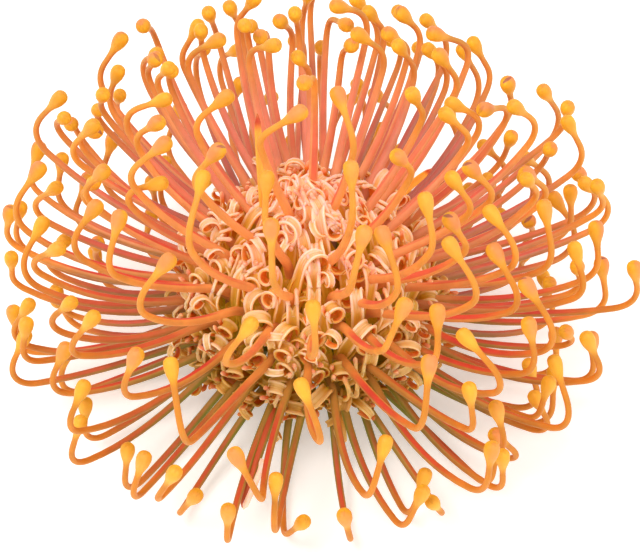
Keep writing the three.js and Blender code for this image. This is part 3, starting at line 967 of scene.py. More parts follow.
def wide_height(u):
    """What one unit of its outline's rise comes to (mm)."""
    return 0.45 + 0.15 * smoothstep(u / 0.45) - 0.12 * smoothstep((u - 0.85) / 0.15)


def tube_radius(u):
    """Radius of the tube (mm) at u from the split down to the receptacle."""
    return 1.0 - 0.35 * u


def opened_perianth(shape):
    """One opened perianth. +Z runs up its stem, +X towards the crown, and the tube splits at the origin."""
    stem = STEM_LENGTH * shape["stem"]
    wide = curl((0.35, 0, 0), (0, 0, 1), (-1, 0, 0), shape["spin"], shape["sway"], shape["screw"], stem,
                shape["roll"], shape["turn"], 30)
    tube = rolled_path((0, 0, 1.0), (0, 0, -1), (1, 0, 0), 6.5, 4, lambda u: (0.1, 0, 0))
    side, roll, turn, spin, reach, half = shape["narrow"]
    way = np.array([math.cos(math.radians(side)), math.sin(math.radians(side)), 0])
    up = np.array([0, 0, 1])
    narrow = curl(0.5 * way, 0.3 * way + 0.954 * up, -0.954 * way + 0.3 * up, spin, -shape["sway"],
                  -shape["screw"], stem * reach, roll, turn, 18)

    def narrow_half(u):
        """Half the width of the narrow strap (mm)."""
        return half * (1 - 0.25 * smoothstep((u - 0.5) / 0.5))

    return joined([
        strap(wide, CHANNEL, wide_half, wide_height, WIDE, notch=1.6),
        prong(wide, -1, shape["loose"][0], 1.0),
        prong(wide, 1, shape["loose"][1], 1.0),
        strap(tube, ROUND, tube_radius, tube_radius, TUBE),
        strap(narrow, GUTTER, narrow_half, lambda u: 0.42, NARROW),
    ])


curls = bpy.data.collections.new("curls")
for number, shape in enumerate(CURLS):
    name = f"curl_{number}"
    curls.objects.link(bpy.data.objects.new(name, mesh_from(opened_perianth(shape), name)))

# %% [markdown]
# ## The perianth's skin
#
# The straps are thin and juicy, so light passes through them. The inside of a curl is orange-brown, its own
# colour darkened by painted shade. The rims and outer tops are cream to pink, partly their own colour and
# partly a painted highlight, the channels are yellow-orange, and everything turns olive and dark towards the
# core of the head, which is painted shade. Painting 233 perianths by hand would take days. Distance from
# the head's centre, and the values that the strap builder left on each point, drive the same change by rule.
#
# Fine veins run the length of a strap. They are noise in the strap's own directions, squeezed across it.

# %% Perianth material: what it reads
MOVED = ("ShaderNodeMapping", {"vector_type": "POINT"}, ("Vector",), "Vector")
LENGTH = ("ShaderNodeVectorMath", {"operation": "LENGTH"}, (0,), "Value")
POINT = ("ShaderNodeCombineXYZ", {}, ("X", "Y", "Z"), "Vector")
VEINS_ACROSS = 5.0  # with a scale of 1.6, a vein about every 0.14 mm of a half strap 1.1 mm wide
VEINS_ALONG = 3.0
VEINS_APART = 40.0  # so that no two perianths have the same veins
VEIN_SCALE = 1.6

soft_skin, tree = empty_material("living_perianth")
STRAP_VALUES = ("edge", "face", "part", "how_far", "level", "tone")
edge, face, part, how_far, level, tone = [add(tree, VALUE, attribute_name=name) for name in STRAP_VALUES]
place = add(tree, OBJECT_PLACE)
from_centre = add(tree, LENGTH, add(tree, MOVED, place, Location=tuple(-CENTRE)))
reach = add(tree, OVER, from_centre, MM)
blotch = add(tree, NOISE, place, per_metre(2.4), 3.0)
vein_place = add(tree, POINT, add(tree, TIMES, edge, VEINS_ACROSS), add(tree, TIMES, how_far, VEINS_ALONG),
                 add(tree, TIMES, tone, VEINS_APART))
veins = add(tree, NOISE, vein_place, VEIN_SCALE, 2.0)

print("nodes so far:", len(tree.nodes))

# %% Perianth material: channel, cream top and rim
# The channel is yellow to olive in the depth and orange to gold outside, more so the higher the floret.
high = add(tree, RAMP, add(tree, PLUS, reach, add(tree, TIMES, blotch, 2.0)), 20.5, 26.0)
strap_low = add(tree, MIX, level, "#E8A434", "#BC9A30")
strap_high = add(tree, MIX, add(tree, RAMP, level, 0.1, 0.9), "#F6AC5E", "#E0A844")
skin = add(tree, MIX, high, strap_low, strap_high)

# Towards the outside the tops are streaked with pink near the crown and with cream lower down, partly
# their own colour and partly a painted highlight.
pink = add(tree, MIX, add(tree, RAMP, level, 0.25, 0.75), "#FEC8C4", "#F9D09E")
cream = add(tree, MIX, add(tree, RAMP, tone, -0.2, 1.2), pink, "#FEDED0")
lit_top = add(tree, TIMES, add(tree, RAMP, high, 0.3, 1.0), add(tree, RAMP, veins, 0.3, 0.7, 0.1, 0.6))
skin = add(tree, MIX, lit_top, skin, cream)

# The rims are thick and pale, partly their own colour and partly a painted highlight, and the side that
# ends up inside a roll is a warm brown, its own colour darkened by painted shade.
rim_and_highlight_colour = add(tree, MIX, add(tree, RAMP, reach, 18.0, 24.0), "#EDB04A", cream)
rim = add(tree, TIMES, add(tree, RAMP, face, 0.25, 0.65), add(tree, RAMP, reach, 14.5, 18.0))
skin = add(tree, MIX, add(tree, TIMES, rim, 0.72), skin, rim_and_highlight_colour)

# The side inside a roll: its own warm colour, darkened by painted shade.
roll_inside_colour_and_shade = add(tree, MIX, add(tree, RAMP, blotch, 0.3, 0.7), "#C25914", "#DE7F2C")
skin = add(tree, MIX, add(tree, RAMP, face, 0.0, -0.25), skin, roll_inside_colour_and_shade)

print("nodes so far:", len(tree.nodes))

# %% Perianth material: tips, unopened straps and the shaded depth
# The spoon-shaped tips at the ends of the prongs are salmon.
tips = add(tree, TIMES, add(tree, RAMP, part, 0.9, 1.0), add(tree, RAMP, how_far, 0.45, 0.8))
skin = add(tree, MIX, add(tree, TIMES, tips, 0.6), skin, "#EFA48C")

unopened_part = add(tree, RAMP, tone, 1.5, 1.9)  # a tone of 2 marks a strap that never opened
orange = add(tree, TIMES, unopened_part, add(tree, RAMP, level, 0.9, 0.5))
skin = add(tree, MIX, orange, skin, "#F6A544")
red_tip = add(tree, TIMES, unopened_part, add(tree, RAMP, how_far, 0.86, 0.95))
skin = add(tree, MIX, red_tip, skin, "#B4432B")

# Painted shade: near the core, and low on the head, everything grows darker and greener.
deep_shade_colour = add(tree, MIX, level, "#CC9A20", "#8C8A1C")
skin = add(tree, MIX, add(tree, RAMP, reach, 20.5, 15.5), skin, deep_shade_colour)
low = add(tree, MIX, add(tree, RAMP, level, 0.55, 1.0), "#FFFFFF", "#DCC68C")
skin = add(tree, TINT, 1.0, skin, low)

print("nodes so far:", len(tree.nodes))

# %% [markdown]
# A strap is half glossy, with the IOR of water-filled tissue, and much of the light that enters it comes
# out again up to two millimetres away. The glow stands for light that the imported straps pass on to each
# other. It is greener and weaker low on the head. The veins give the surface its fine, lengthwise relief.

# %% Perianth material: veins, glow and gloss
shade = add(tree, RAMP, veins, 0.25, 0.75, 0.92, 1.05)
skin = add(tree, TINT, 1.0, skin, add(tree, GREY, shade, shade, shade))
glow = add(tree, MIX, add(tree, RAMP, level, 0.3, 0.8), "#F2EAB8", "#8E8C50")
glow = add(tree, TINT, 1.0, skin, glow)
bump = add(tree, BUMP, veins, 0.35, 0.15 * MM)
surface = add(
    tree, SHADER, Base__Color=skin, Emission__Color=glow, Emission__Strength=0.2, Roughness=0.5, IOR=1.4,
    Subsurface__Weight=0.7, Subsurface__Radius=(1.0, 0.6, 0.25), Subsurface__Scale=2.0 * MM, Normal=bump)
add(tree, SURFACE, surface)

print("nodes in the perianth's skin:", len(tree.nodes))

# %% [markdown]
# ## Stand a perianth on every floret
#
# The perianths could be copied in a loop, but Geometry Nodes does it from a cloud of points: each point
# says which curl stands on it, how it is turned and how big it is, and hands its level and tone on to the
# material. The low florets lean up towards the crown, as real ones do where they press for room.

# %% Points where the tubes split
SPLIT_RADIUS = 16.2  # mm from the head's centre
LOWEST = math.radians(RINGS[LAST_RING]["polar"])
MOST_SPIN = 25  # degrees either way
MOST_TILT = 5
SIZE_VARIES = 0.06
NEARLY_STRAIGHT = 60  # degrees of roll; a curl under this isn't used near the crown


def point_cloud(name, places, turn, **values):
    """A mesh of points, with the turn and the values of what will stand on each."""
    mesh = bpy.data.meshes.new(name)
    mesh.from_pydata(places, [], [])
    set_values(mesh, turn=turn, **values)
    return put_in_scene(name, mesh)


def curl_kind(floret):
    """Which of the curls stands on a floret."""
    kind = int((own(floret["number"], "kind") + 1) / 2 * len(CURLS))
    return kind - 1 if floret["ring"] < 2 and CURLS[kind]["turn"] < NEARLY_STRAIGHT else kind


def split_point(floret):
    """Where a floret's tube splits, and its turn there as Euler angles."""
    number, polar, azimuth = floret["number"], floret["traits"]["polar"], floret["traits"]["azimuth"]
    lean = lean_of(polar)
    foot = polar + 0.3 * lean * math.sqrt(polar / LOWEST)
    up = foot - lean + math.radians(MOST_TILT * own(number, "tilt"))
    outward = np.array([math.sin(up), 0, math.cos(up)])
    crownward = np.array([-math.cos(up), 0, math.sin(up)])
    axes = turned_about_axis(np.array([crownward, np.cross(outward, crownward), outward]), azimuth)
    spin = Matrix.Rotation(math.radians(MOST_SPIN * own(number, "spin")), 3, "Z")
    place = turned_about_axis(SPLIT_RADIUS * np.array([[math.sin(foot), 0, math.cos(foot)]]), azimuth)[0]
    return tuple(CENTRE + place * MM), tuple((Matrix(axes.tolist()).transposed() @ spin).to_euler())


def floret_points(name, members):
    """A point where each floret's tube splits."""
    places, turns = zip(*[split_point(f) for f in members])
    return point_cloud(
        name, places, turns,
        kind=[curl_kind(f) for f in members],
        size=[1 + SIZE_VARIES * own(f["number"], "size") for f in members],
        level=[f["ring"] / LAST_RING for f in members],
        tone=[own(f["number"], "perianth_tone") for f in members],
    )


print("first perianth splits at (mm):", np.round(np.array(split_point(florets[0])[0]) / MM, 1))

# %% The planting, as a Geometry Nodes tree
CHOICE = ("GeometryNodeCollectionInfo",
          {"transform_space": "ORIGINAL", "Separate__Children": True, "Reset__Children": True},
          ("Collection",), "Instances")
TURN = ("FunctionNodeEulerToRotation", {}, ("Euler",), "Rotation")
PLANT = ("GeometryNodeInstanceOnPoints", {"Pick__Instance": True},
         ("Points", "Instance", "Instance Index", "Rotation", "Scale"), "Instances")

planting, given = tree_with_inputs("planting", Shapes="Collection", Size="Float", Finish="Material")
tree = planting
kind = add(tree, NAMED, "kind", data_type="INT")
turn = add(tree, TURN, add(tree, NAMED, "turn", data_type="FLOAT_VECTOR"))
size = add(tree, TIMES, add(tree, NAMED, "size"), given["Size"])
planted = add(tree, PLANT, given["Geometry"], add(tree, CHOICE, given["Shapes"]), kind, turn, size)
planted = add(tree, SMOOTH, add(tree, REAL, planted))
add(tree, RESULT, add(tree, FINISH, planted, given["Finish"]))

print("nodes in the planting:", len(planting.nodes))

# %% Grow the perianths, level by level
for level_name, members in levels.items():
    name = f"{level_name}_perianths"
    points = floret_points(f"{level_name}_points", members)
    pieces[name] = grown(points, planting, name, Shapes=curls, Size=1.0, Finish=soft_skin)
    print(name, "faces:", len(pieces[name].data.polygons))

# %% [markdown]
# ## Late florets
#
# Florets open from the rim inwards over days, and some come late. They fill the gaps that the first ones
# leave, so that no core shows, and most of their styles are still short and hidden among the curls. At the
# back and round the sides, where the head is densest, many of them already carry a style, somewhat shorter
# than its neighbours. They are found by rule: wherever two florets in a ring leave a wide gap, late ones
# share it, a little further down.

# %% Perianths in the gaps
DOME_RADIUS = 25.0  # mm, roughly where the curls lie
WIDE_GAP = 5.6  # mm
A_LITTLE_DOWN = math.radians(6)
LATE_NUMBERS_FROM = 500  # far from the first florets' numbers, so that they vary on their own
LATE_SIZE = 0.98


def late_florets():
    """Late florets, wherever two neighbours in a ring leave a wide gap."""
    late = []
    for ring in range(LAST_RING):
        members = [(f["traits"]["azimuth"] % (2 * math.pi), f) for f in florets if f["ring"] == ring]
        members.sort(key=lambda member: member[0])
        for i, (azimuth, floret) in enumerate(members):
            after = members[(i + 1) % len(members)][0] + (2 * math.pi if i + 1 == len(members) else 0)
            polar = floret["traits"]["polar"] + A_LITTLE_DOWN
            fit = int((after - azimuth) * DOME_RADIUS * math.sin(polar) / WIDE_GAP)
            for place in range(fit):
                between = azimuth + (after - azimuth) * (place + 1) / (fit + 1)
                traits = dict(floret["traits"], azimuth=between, polar=polar)
                late.append(dict(ring=ring, number=LATE_NUMBERS_FROM + len(late), traits=traits))
    return late


late = late_florets()
points = floret_points("late_points", late)
late_perianths = grown(points, planting, "late_perianths", Shapes=curls, Size=LATE_SIZE, Finish=soft_skin)

for curl_object in list(curls.objects):
    bpy.data.objects.remove(curl_object)
bpy.data.collections.remove(curls)

print("late perianths:", len(late))

# %% Styles of the late florets
LATE_RINGS = (2, 3, 4, 5, 6)
LATE_REACH_RIGHT = math.radians(158)  # how far round from the back they stand
LATE_REACH_LEFT = math.radians(125)
LATE_CLEARANCE = 0.25  # mm
LATE_LEG = 0.86  # of their neighbours' legs
LATE_LEG_VARIES = 0.08


def late_styles(late):
    """The late florets that carry a style, each clear of every other style."""
    outlines = [style_outline(f["traits"]) for f in florets]
    styled = []
    for floret in late:
        number, azimuth = floret["number"], floret["traits"]["azimuth"]
        reach = LATE_REACH_RIGHT if math.cos(azimuth) > 0 else LATE_REACH_LEFT
        if floret["ring"] not in LATE_RINGS or math.sin(azimuth) < math.cos(reach):
            continue
        before, after = RINGS[floret["ring"]], RINGS[floret["ring"] + 1]
        ring = {key: (before[key] + after[key]) / 2 for key in before}
        for attempt in range(MOST_TRIES):
            traits = draw_traits(ring, 0, number, attempt)
            traits.update(azimuth=azimuth, polar=floret["traits"]["polar"])
            traits["leg"] *= LATE_LEG + LATE_LEG_VARIES * own(number, "late_leg", attempt)
            outline = style_outline(traits)
            if smallest_gap(outline, outlines) >= LATE_CLEARANCE:
                outlines.append(outline)
                styled.append(dict(ring=floret["ring"] + 0.5, number=number, traits=traits))
                break
    return styled


styled = late_styles(late)
paths = path_object("late_paths", styled)
late_pistils = grown(
    paths, pistil_sweep, "late_pistils", Sides=PISTIL_SIDES, Thickness=1.0, Finish=living_skin)

print("late pistils:", len(styled))

# %% [markdown]
# ## Florets that have not opened
#
# No head is perfect. Two straps near the top have stayed straight, pale with a red-brown tip, and low at
# the front one short style is still held by its sheath: the style ends blunt, with a pale strap along its
# underside. They are single pieces with a place of their own, so there is nothing to repeat: each is swept
# through three points with the strap builder, in the skin of its kind.

# %% Helpers for single straps
def along_points(points, outside, steps):
    """A smooth path through three points (mm from the head's centre), with frames for the strap builder."""
    start, middle, end = (np.array(p, float) for p in points)
    u = np.linspace(0, 1, steps + 1)[:, None]
    places = (1 - u) * (1 - 2 * u) * start + 4 * u * (1 - u) * middle + u * (2 * u - 1) * end
    heading = np.gradient(places, axis=0)
    heading /= np.linalg.norm(heading, axis=1)[:, None]
    out = np.array(outside, float) - heading * (heading @ np.array(outside, float))[:, None]
    out /= np.linalg.norm(out, axis=1)[:, None]
    return [places, heading, out, np.cross(heading, out)]


def round_end(u, blunt):
    """Part of the full width at u, for a strap that is rounded off over its last, blunt part."""
    return math.sqrt(max(0.04, 1 - (max(0, u - 1 + blunt) / blunt) ** 2))


def placed(parts, name, finish, **extra):
    """A piece from parts measured from the head's centre, with more values on its points and its material.

    An extra value is one number for all points, or the name of the parts' value that is used for it."""
    mesh = mesh_from(parts, name)
    mesh.transform(Matrix.Translation(Vector(CENTRE)))
    for key, value in extra.items():
        values = parts[value] if isinstance(value, str) else [float(value)] * len(mesh.vertices)
        set_values(mesh, **{key: values})
    mesh.shade_smooth()
    mesh.materials.append(finish)
    return put_in_scene(name, mesh)


print("part of the width left just before a blunt end:", round(round_end(0.95, 0.2), 2))

# %% Unopened straps
LEFT_STRAP = [(-7.0, -1.5, 15.0), (-7.9, 3.2, 26.5), (-8.4, 8.0, 37.5)]
RIGHT_STRAP = [(12.6, 7.2, 15.5), (17.4, 7.4, 21.2), (20.8, 7.2, 25.4)]
UNOPENED_TONE = 2.0

left_path = along_points(LEFT_STRAP, (0, -0.9, 0.4), 16)
right_path = along_points(RIGHT_STRAP, (-0.3, -0.8, 0.5), 12)
straps = joined([
    strap(left_path, GUTTER, lambda u: 0.6 * round_end(u, 0.12), lambda u: 0.5 * round_end(u, 0.12), NARROW),
    strap(right_path, GUTTER, lambda u: (0.95 - 0.45 * u) * round_end(u, 0.2),
          lambda u: 0.55 * round_end(u, 0.2), NARROW),
])
unopened = placed(straps, "unopened_straps", soft_skin, level=0.45, tone=UNOPENED_TONE)

print("unopened straps faces:", len(unopened.data.polygons))

# %% The held style and its sheath
SHEATH = [(-7.3, -30.6, -6.0), (-9.0, -34.4, -7.9), (-10.8, -38.1, -9.8)]
HELD_STYLE = [(-4.3, -14.8, -4.2), (-7.9, -27.6, -6.2), (-11.0, -37.4, -10.2)]
PALE_AS_A_RIM = 0.9


def held_radius(u):
    """Radius of the held style (mm): a slow taper to a blunt end."""
    return (0.8 - 0.15 * u) * round_end(u, 0.05)


sheath = strap(along_points(SHEATH, (0.5, -0.3, 0.8), 12), ROUND,
               lambda u: (0.52 + 0.35 * smoothstep((0.2 - u) / 0.15)) * round_end(u, 0.12),
               lambda u: 0.5 * round_end(u, 0.12), NARROW)
# The whole sheath takes the rims' pale colour, painted highlight included.
sheath["face"] = [PALE_AS_A_RIM] * len(sheath["vertices"])
held_sheath = placed(sheath, "held_style_sheath", soft_skin, level=0.1, tone=0.3)

held = strap(along_points(HELD_STYLE, (0, 0.4, 1), 26), ROUND, held_radius, held_radius, WIDE)
held_style = placed(held, "held_style", living_skin, upper_side="face", flank="edge", along=0.3, club=0.0,
                    level=0.85, tone=0.4)

print("held style faces:", len(held_style.data.polygons), "sheath faces:", len(held_sheath.data.polygons))

# %% [markdown]
# ## Stalk and receptacle
#
# Under the florets the stalk swells into a woody, domed core. It is hidden but for the gaps between the
# perianths, where it shows as a dark ground, and for the underside, where the short cut stalk stands on
# the table. A ball joined to a cylinder would leave a seam, so it is turned about the axis like a pot:
# a profile of radius against height, drawn round in steps. Low ribs run down the stalk, and the core
# carries rows of small round scars.

# %% The profile
STALK_RADIUS = 4.2  # mm
STALK_EDGE = 0.6  # the rounded edge of the cut end
CUT_ROWS = 9
STALK_ROWS = 9
CORE_ROWS = 60


def core_profile():
    """Radius and height above the cut face (mm), from the middle of the cut face to the top of the core."""
    round_radius = min((core_high[0] - core_low[0]) / 2 / MM, CORE_RADIUS)
    drop = CENTRE[2] / MM
    rows = [(r, 0.0) for r in np.linspace(0, STALK_RADIUS - STALK_EDGE, CUT_ROWS)]
    for angle in np.radians([22, 45, 68, 90]):
        rows.append((STALK_RADIUS - STALK_EDGE * (1 - math.sin(angle)), STALK_EDGE * (1 - math.cos(angle))))
    join = math.pi - math.asin(STALK_RADIUS / round_radius)
    join_height = drop + round_radius * math.cos(join)
    rows += [(STALK_RADIUS, h) for h in np.linspace(STALK_EDGE, join_height, STALK_ROWS)[1:-1]]
    for angle in np.linspace(join, 0, CORE_ROWS):
        rows.append((round_radius * math.sin(angle), drop + round_radius * math.cos(angle)))
    return np.array(rows)


profile = core_profile()

print("rows in the profile:", len(profile))

# %% Ribs and scars
RIBS = 12
RIB_DEPTH = 0.12  # mm
RIBS_END = 6  # mm below the head's centre
SCAR_STEP = 7.5  # degrees between the rows of scars
SCAR_DEPTH = 0.3  # mm
SCAR_RADIUS = 0.34  # of the space between two scars
SCAR_SLOPE = 0.16
SCARS_START = 5  # mm below the head's centre


def rib(angle, height):
    """How deep (mm) the surface lies between two ribs."""
    wave = RIB_DEPTH * (1 - math.cos(RIBS * angle)) / 2
    on_stalk = height < CENTRE[2] / MM - RIBS_END
    return wave * smoothstep((height - 0.3) / 1.5) * on_stalk


def scar(angle, height, polar):
    """How deep (mm) a scar is here. Rows of scars are staggered, and a row has fewer near the top."""
    row = math.degrees(polar) / SCAR_STEP
    in_row = max(3, round(2 * math.pi * math.sin(polar) / math.radians(SCAR_STEP)))
    cell = angle / (2 * math.pi) * in_row + 0.5 * (math.floor(row) % 2)
    off = math.hypot(row % 1 - 0.5, cell % 1 - 0.5)
    on_core = height > CENTRE[2] / MM - SCARS_START
    return SCAR_DEPTH * smoothstep((SCAR_RADIUS - off) / SCAR_SLOPE) * on_core


print("depth between two ribs (mm):", round(float(rib(math.pi / RIBS, 5.0)), 2))

# %% Turn the profile into a mesh
TURN_SIDES = 96


def turned_vertices(profile):
    """The bottom point, then rings of points, then the top point (mm)."""
    middle = CENTRE / MM
    vertices = [(middle[0], middle[1], 0.0)]
    for radius, height in profile[1:-1]:
        polar = math.atan2(radius, height - middle[2])
        for k in range(TURN_SIDES):
            angle = 2 * math.pi * k / TURN_SIDES
            dent = scar(angle, height, polar)
            r = radius - rib(angle, height) - dent * math.sin(polar)
            vertices.append((middle[0] + r * math.cos(angle), middle[1] + r * math.sin(angle),
                             max(0.0, height - dent * math.cos(polar))))
    return vertices + [(middle[0], middle[1], profile[-1][1])]


def turned_faces(rings):
    """Triangles round the bottom point and the top point, and squares between the rings."""
    faces = []
    top = 1 + rings * TURN_SIDES
    for k in range(TURN_SIDES):
        after = (k + 1) % TURN_SIDES
        faces.append((0, 1 + after, 1 + k))
        for a in range(1, top - TURN_SIDES, TURN_SIDES):
            faces.append((a + k, a + after, a + after + TURN_SIDES, a + k + TURN_SIDES))
        faces.append((top - TURN_SIDES + k, top - TURN_SIDES + after, top))
    return faces


mesh = bpy.data.meshes.new("green_stalk_and_core")
mesh.from_pydata((np.array(turned_vertices(profile)) * MM).tolist(), [], turned_faces(len(profile) - 2))
mesh.shade_smooth()
core = put_in_scene("green_stalk_and_core", mesh)

print("faces of the stalk and core:", len(core.data.polygons))

# %% [markdown]
# ## The stalk's rind
#
# A living stalk has a matt green rind with short pale hairs that lie along it, and the core under the
# florets is a woody yellow-brown. The cut face shows a pale pith, a ring of wood and the green rind.
# Height above the table and distance from the axis tell these apart. The hairs are far too fine to model,
# so they are noise drawn out along the stalk, for colour and for a little relief.

# %% Stalk material: rind, core and hairs
living_rind, tree = empty_material("living_stalk_rind")
place = add(tree, OBJECT_PLACE)
axes = add(tree, AXES, add(tree, MOVED, place, Location=(-CENTRE[0], -CENTRE[1], 0.0))).node.outputs
height = add(tree, OVER, axes["Z"], MM)
from_axis = add(tree, OVER, add(tree, LENGTH, add(tree, POINT, axes["X"], axes["Y"])), MM)
patches = add(tree, RAMP, add(tree, NOISE, place, per_metre(3.3), 4.0), 0.35, 0.65)
hair_place = add(tree, MOVED, place, Scale=(1.0, 1.0, 0.15))
hairs = add(tree, NOISE, hair_place, per_metre(0.385), 3.0)  # coarser than the real hairs, so that they show

rind = add(tree, MIX, patches, "#7F8A35", "#A39A48")
core_colour = add(tree, MIX, patches, "#B08A22", "#C99A2C")
skin = add(tree, MIX, add(tree, RAMP, height, 6.5, 9.0), rind, core_colour)
pale_hairs = add(tree, TIMES, add(tree, RAMP, hairs, 0.55, 0.75), 0.4)
skin = add(tree, MIX, pale_hairs, skin, "#D8D0A0")

print("nodes so far:", len(tree.nodes))

# %% Stalk material: the cut face, and the finish
pores = add(tree, NOISE, place, per_metre(1.11), 2.0)
wood = add(tree, MIX, add(tree, RAMP, pores, 0.35, 0.65), "#D9CF9A", "#C9BC7E")
cut = add(tree, MIX, add(tree, RAMP, from_axis, 1.2, 1.6), "#E9E3C0", wood)
cut = add(tree, MIX, add(tree, RAMP, from_axis, 3.1, 3.4), cut, "#8FA04C")
on_cut = add(tree, TIMES, add(tree, RAMP, height, 0.12, 0.02), add(tree, RAMP, from_axis, 3.9, 3.7))
skin = add(tree, MIX, on_cut, skin, cut)

bump = add(tree, BUMP, hairs, 0.4, 0.15 * MM)
surface = add(
    tree, SHADER, Base__Color=skin, Roughness=0.65, IOR=1.4, Subsurface__Weight=0.15,
    Subsurface__Radius=(0.8, 0.6, 0.25), Subsurface__Scale=0.6 * MM, Normal=bump)
add(tree, SURFACE, surface)
core.data.materials.append(living_rind)

print("nodes in the stalk's rind:", len(tree.nodes))

# %% [markdown]
# ## Bracts
#
# A collar of small pointed leaves, the bracts, closes the bud and stays under the open head. All are
# alike, so one leaf is modelled and Geometry Nodes sets it round the stalk. A flat leaf with a Solidify
# modifier would be as thick at its rim as in the middle. Here the upper and the lower face are two grids
# of points, so the wall can thin towards the rim and the tip. The outline is an egg shape drawn to a tip,
# the leaf cups upwards, and it has a raised midrib.

# %% One bract, row by row
BRACT_LENGTH = 7.9  # mm
BRACT_HALF_WIDTH = 1.8
BRACT_LONG_STEPS = 20
BRACT_WIDE_STEPS = 10
THINNEST_HALF = 0.04


def bract_half_width(u):
    """Half the width of a bract (mm) at u from its foot to its tip."""
    egg = 0.5 + 0.5 * math.sin(math.pi * min(1, u / 0.75 + 0.1) / 1.35)
    return max(BRACT_HALF_WIDTH * egg * (1 - u ** 3) ** 0.8, THINNEST_HALF)


def bract_heights(u, v):
    """Heights (mm) of the upper and the lower face, at u from foot to tip and v from -1 to 1 across."""
    cup = 0.3 * v * v * math.sin(math.pi * u) - 0.12
    midrib = 0.1 * math.exp(-(v / 0.14) ** 2) * (1 - u)
    wall = 0.2 * (1 - 0.75 * v * v) * (1 - 0.6 * u)
    return cup + wall, cup - wall - midrib


print("half width at the middle (mm):", round(bract_half_width(0.5), 2))

# %% One bract as vertices and faces
def bract_faces(count):
    """Faces of the two grids, of count points each, and of the thin edge round them."""
    faces = []
    row = BRACT_WIDE_STEPS + 1
    for i in range(BRACT_LONG_STEPS):
        for k in range(BRACT_WIDE_STEPS):
            a = i * row + k
            faces.append((a, a + row, a + row + 1, a + 1))
            faces.append((count + a, count + a + 1, count + a + row + 1, count + a + row))
        left, right = i * row, i * row + BRACT_WIDE_STEPS
        faces.append((left, count + left, count + left + row, left + row))
        faces.append((right, right + row, count + right + row, count + right))
    for k in range(BRACT_WIDE_STEPS):
        end = BRACT_LONG_STEPS * row + k
        faces.append((k, k + 1, count + k + 1, count + k))
        faces.append((end, count + end, count + end + 1, end + 1))
    return faces


def bract():
    """A leaf that lies along +X from the origin, +Z up, as vertices, faces and shading values."""
    upper, lower, edge, how_far = [], [], [], []
    for i in range(BRACT_LONG_STEPS + 1):
        u = i / BRACT_LONG_STEPS
        for k in range(BRACT_WIDE_STEPS + 1):
            v = 2 * k / BRACT_WIDE_STEPS - 1
            x, y = BRACT_LENGTH * u, bract_half_width(u) * v
            above, beneath = bract_heights(u, v)
            upper.append((x, y, above))
            lower.append((x, y, beneath))
            edge.append(abs(v))
            how_far.append(u)
    count = len(upper)
    return dict(vertices=upper + lower, faces=bract_faces(count), edge=edge * 2, how_far=how_far * 2,
                face=[1.0] * count + [-1.0] * count, part=[WIDE] * (2 * count))


print("faces of one bract:", len(bract()["faces"]))

# %% [markdown]
# A bract is leathery and matt. It is green with a red-brown tip and a pale fringe, and a felt of short
# hairs greys it. The felt is noise, drawn coarser than real hairs so that it shows. Leaf wax and cell sap
# give an IOR of about 1.4.

# %% Bract material
leathery_bract, tree = empty_material("leathery_bract")
edge, how_far, tone = [add(tree, VALUE, attribute_name=name) for name in ("edge", "how_far", "tone")]
place = add(tree, OBJECT_PLACE)
patches = add(tree, RAMP, add(tree, NOISE, place, per_metre(2.2), 4.0), 0.35, 0.65)
felt = add(tree, NOISE, place, per_metre(0.417), 3.0)

leaf = add(tree, MIX, patches, "#7E8B3A", "#98A04E")
tip = add(tree, RAMP, add(tree, PLUS, how_far, add(tree, TIMES, tone, 0.1)), 0.6, 0.95)
leaf = add(tree, MIX, tip, leaf, "#A8663A")
fringe = add(tree, TIMES, add(tree, RAMP, edge, 0.75, 0.98), 0.6)
leaf = add(tree, MIX, fringe, leaf, "#D9D2A4")
pale_felt = add(tree, TIMES, add(tree, RAMP, felt, 0.55, 0.75), 0.35)
leaf = add(tree, MIX, pale_felt, leaf, "#E0DABC")

bump = add(tree, BUMP, felt, 0.4, 0.1 * MM)
surface = add(tree, SHADER, Base__Color=leaf, Roughness=0.6, IOR=1.4, Normal=bump)
add(tree, SURFACE, surface)

print("nodes in the bract's skin:", len(tree.nodes))

# %% Set the bracts round the stalk
BRACT_COUNT = 11
BRACT_RISE = math.radians(10)  # above level
BRACT_START = 4.45  # mm from the axis to a bract's foot
BRACT_DROP = 9.6  # mm below the head's centre
BRACT_SHRINKS = 0.04

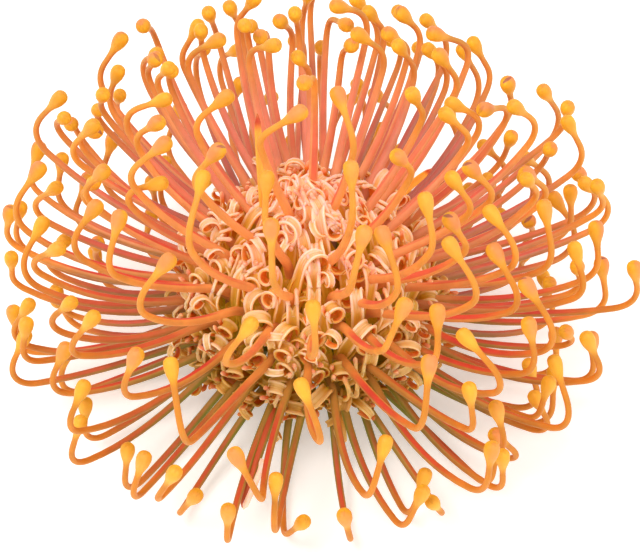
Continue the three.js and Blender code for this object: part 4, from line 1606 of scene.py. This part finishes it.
around = [2 * math.pi * i / BRACT_COUNT for i in range(BRACT_COUNT)]
feet = [(BRACT_START * math.cos(a), BRACT_START * math.sin(a), -BRACT_DROP) for a in around]
points = point_cloud(
    "bract_points",
    [tuple(CENTRE + Vector(foot) * MM) for foot in feet],
    [(0.0, -BRACT_RISE, a) for a in around],
    kind=[0] * BRACT_COUNT,
    size=[1.0 - BRACT_SHRINKS * abs(own(i, "bract_size")) for i in range(BRACT_COUNT)],
    level=[0.0] * BRACT_COUNT,
    tone=[own(i, "bract_tone") for i in range(BRACT_COUNT)],
)
leaves = bpy.data.collections.new("bracts")
leaves.objects.link(bpy.data.objects.new("bract", mesh_from(bract(), "bract")))
collar = grown(points, planting, "bract_collar", Shapes=leaves, Size=1.0, Finish=leathery_bract)
bpy.data.objects.remove(leaves.objects[0])
bpy.data.collections.remove(leaves)

print("faces of the bract collar:", len(collar.data.polygons))

# %% [markdown]
# ## Hand the pieces to the frame
#
# The head is one rigid body, so every piece rides on the root. The pistils and perianths of a level
# together replace that level's CAD nodes, and the core and the bracts replace their own. The late,
# unopened and held florets stand for no CAD node, so they replace nothing.

# %% Bodies and replaced nodes
def hand_over(piece, slot, *nodes):
    """Puts a piece on the one body in place of these CAD nodes, which are hidden. The slot is not used."""
    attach(piece, "root")
    if nodes:
        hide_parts(*nodes)


for level_name, rings in LEVELS.items():
    starts = tuple(f"florets_ring{ring + 1}_" for ring in rings)
    nodes = [node for node in frame["nodes"] if node.startswith(starts)]
    for kind in ("pistils", "perianths"):
        hand_over(pieces[f"{level_name}_{kind}"], f"{level_name}_florets", *nodes)

hand_over(held_style, "lower_florets")
hand_over(held_sheath, "lower_florets")
hand_over(late_perianths, "shoulder_florets")
hand_over(late_pistils, "shoulder_florets")
hand_over(unopened, "crown_florets")
hand_over(core, "green_stalk", "stalk_and_receptacle")
hand_over(collar, "bract_leaf", *[node for node in frame["nodes"] if node.startswith("bract_")])

total = 0
single_pieces = [late_perianths, late_pistils, unopened, held_style, held_sheath, core, collar]
for piece in [*pieces.values(), *single_pieces]:
    piece.data.calc_loop_triangles()
    total += len(piece.data.loop_triangles)
    print(piece.name, "triangles:", len(piece.data.loop_triangles))
print("triangles in all:", total)
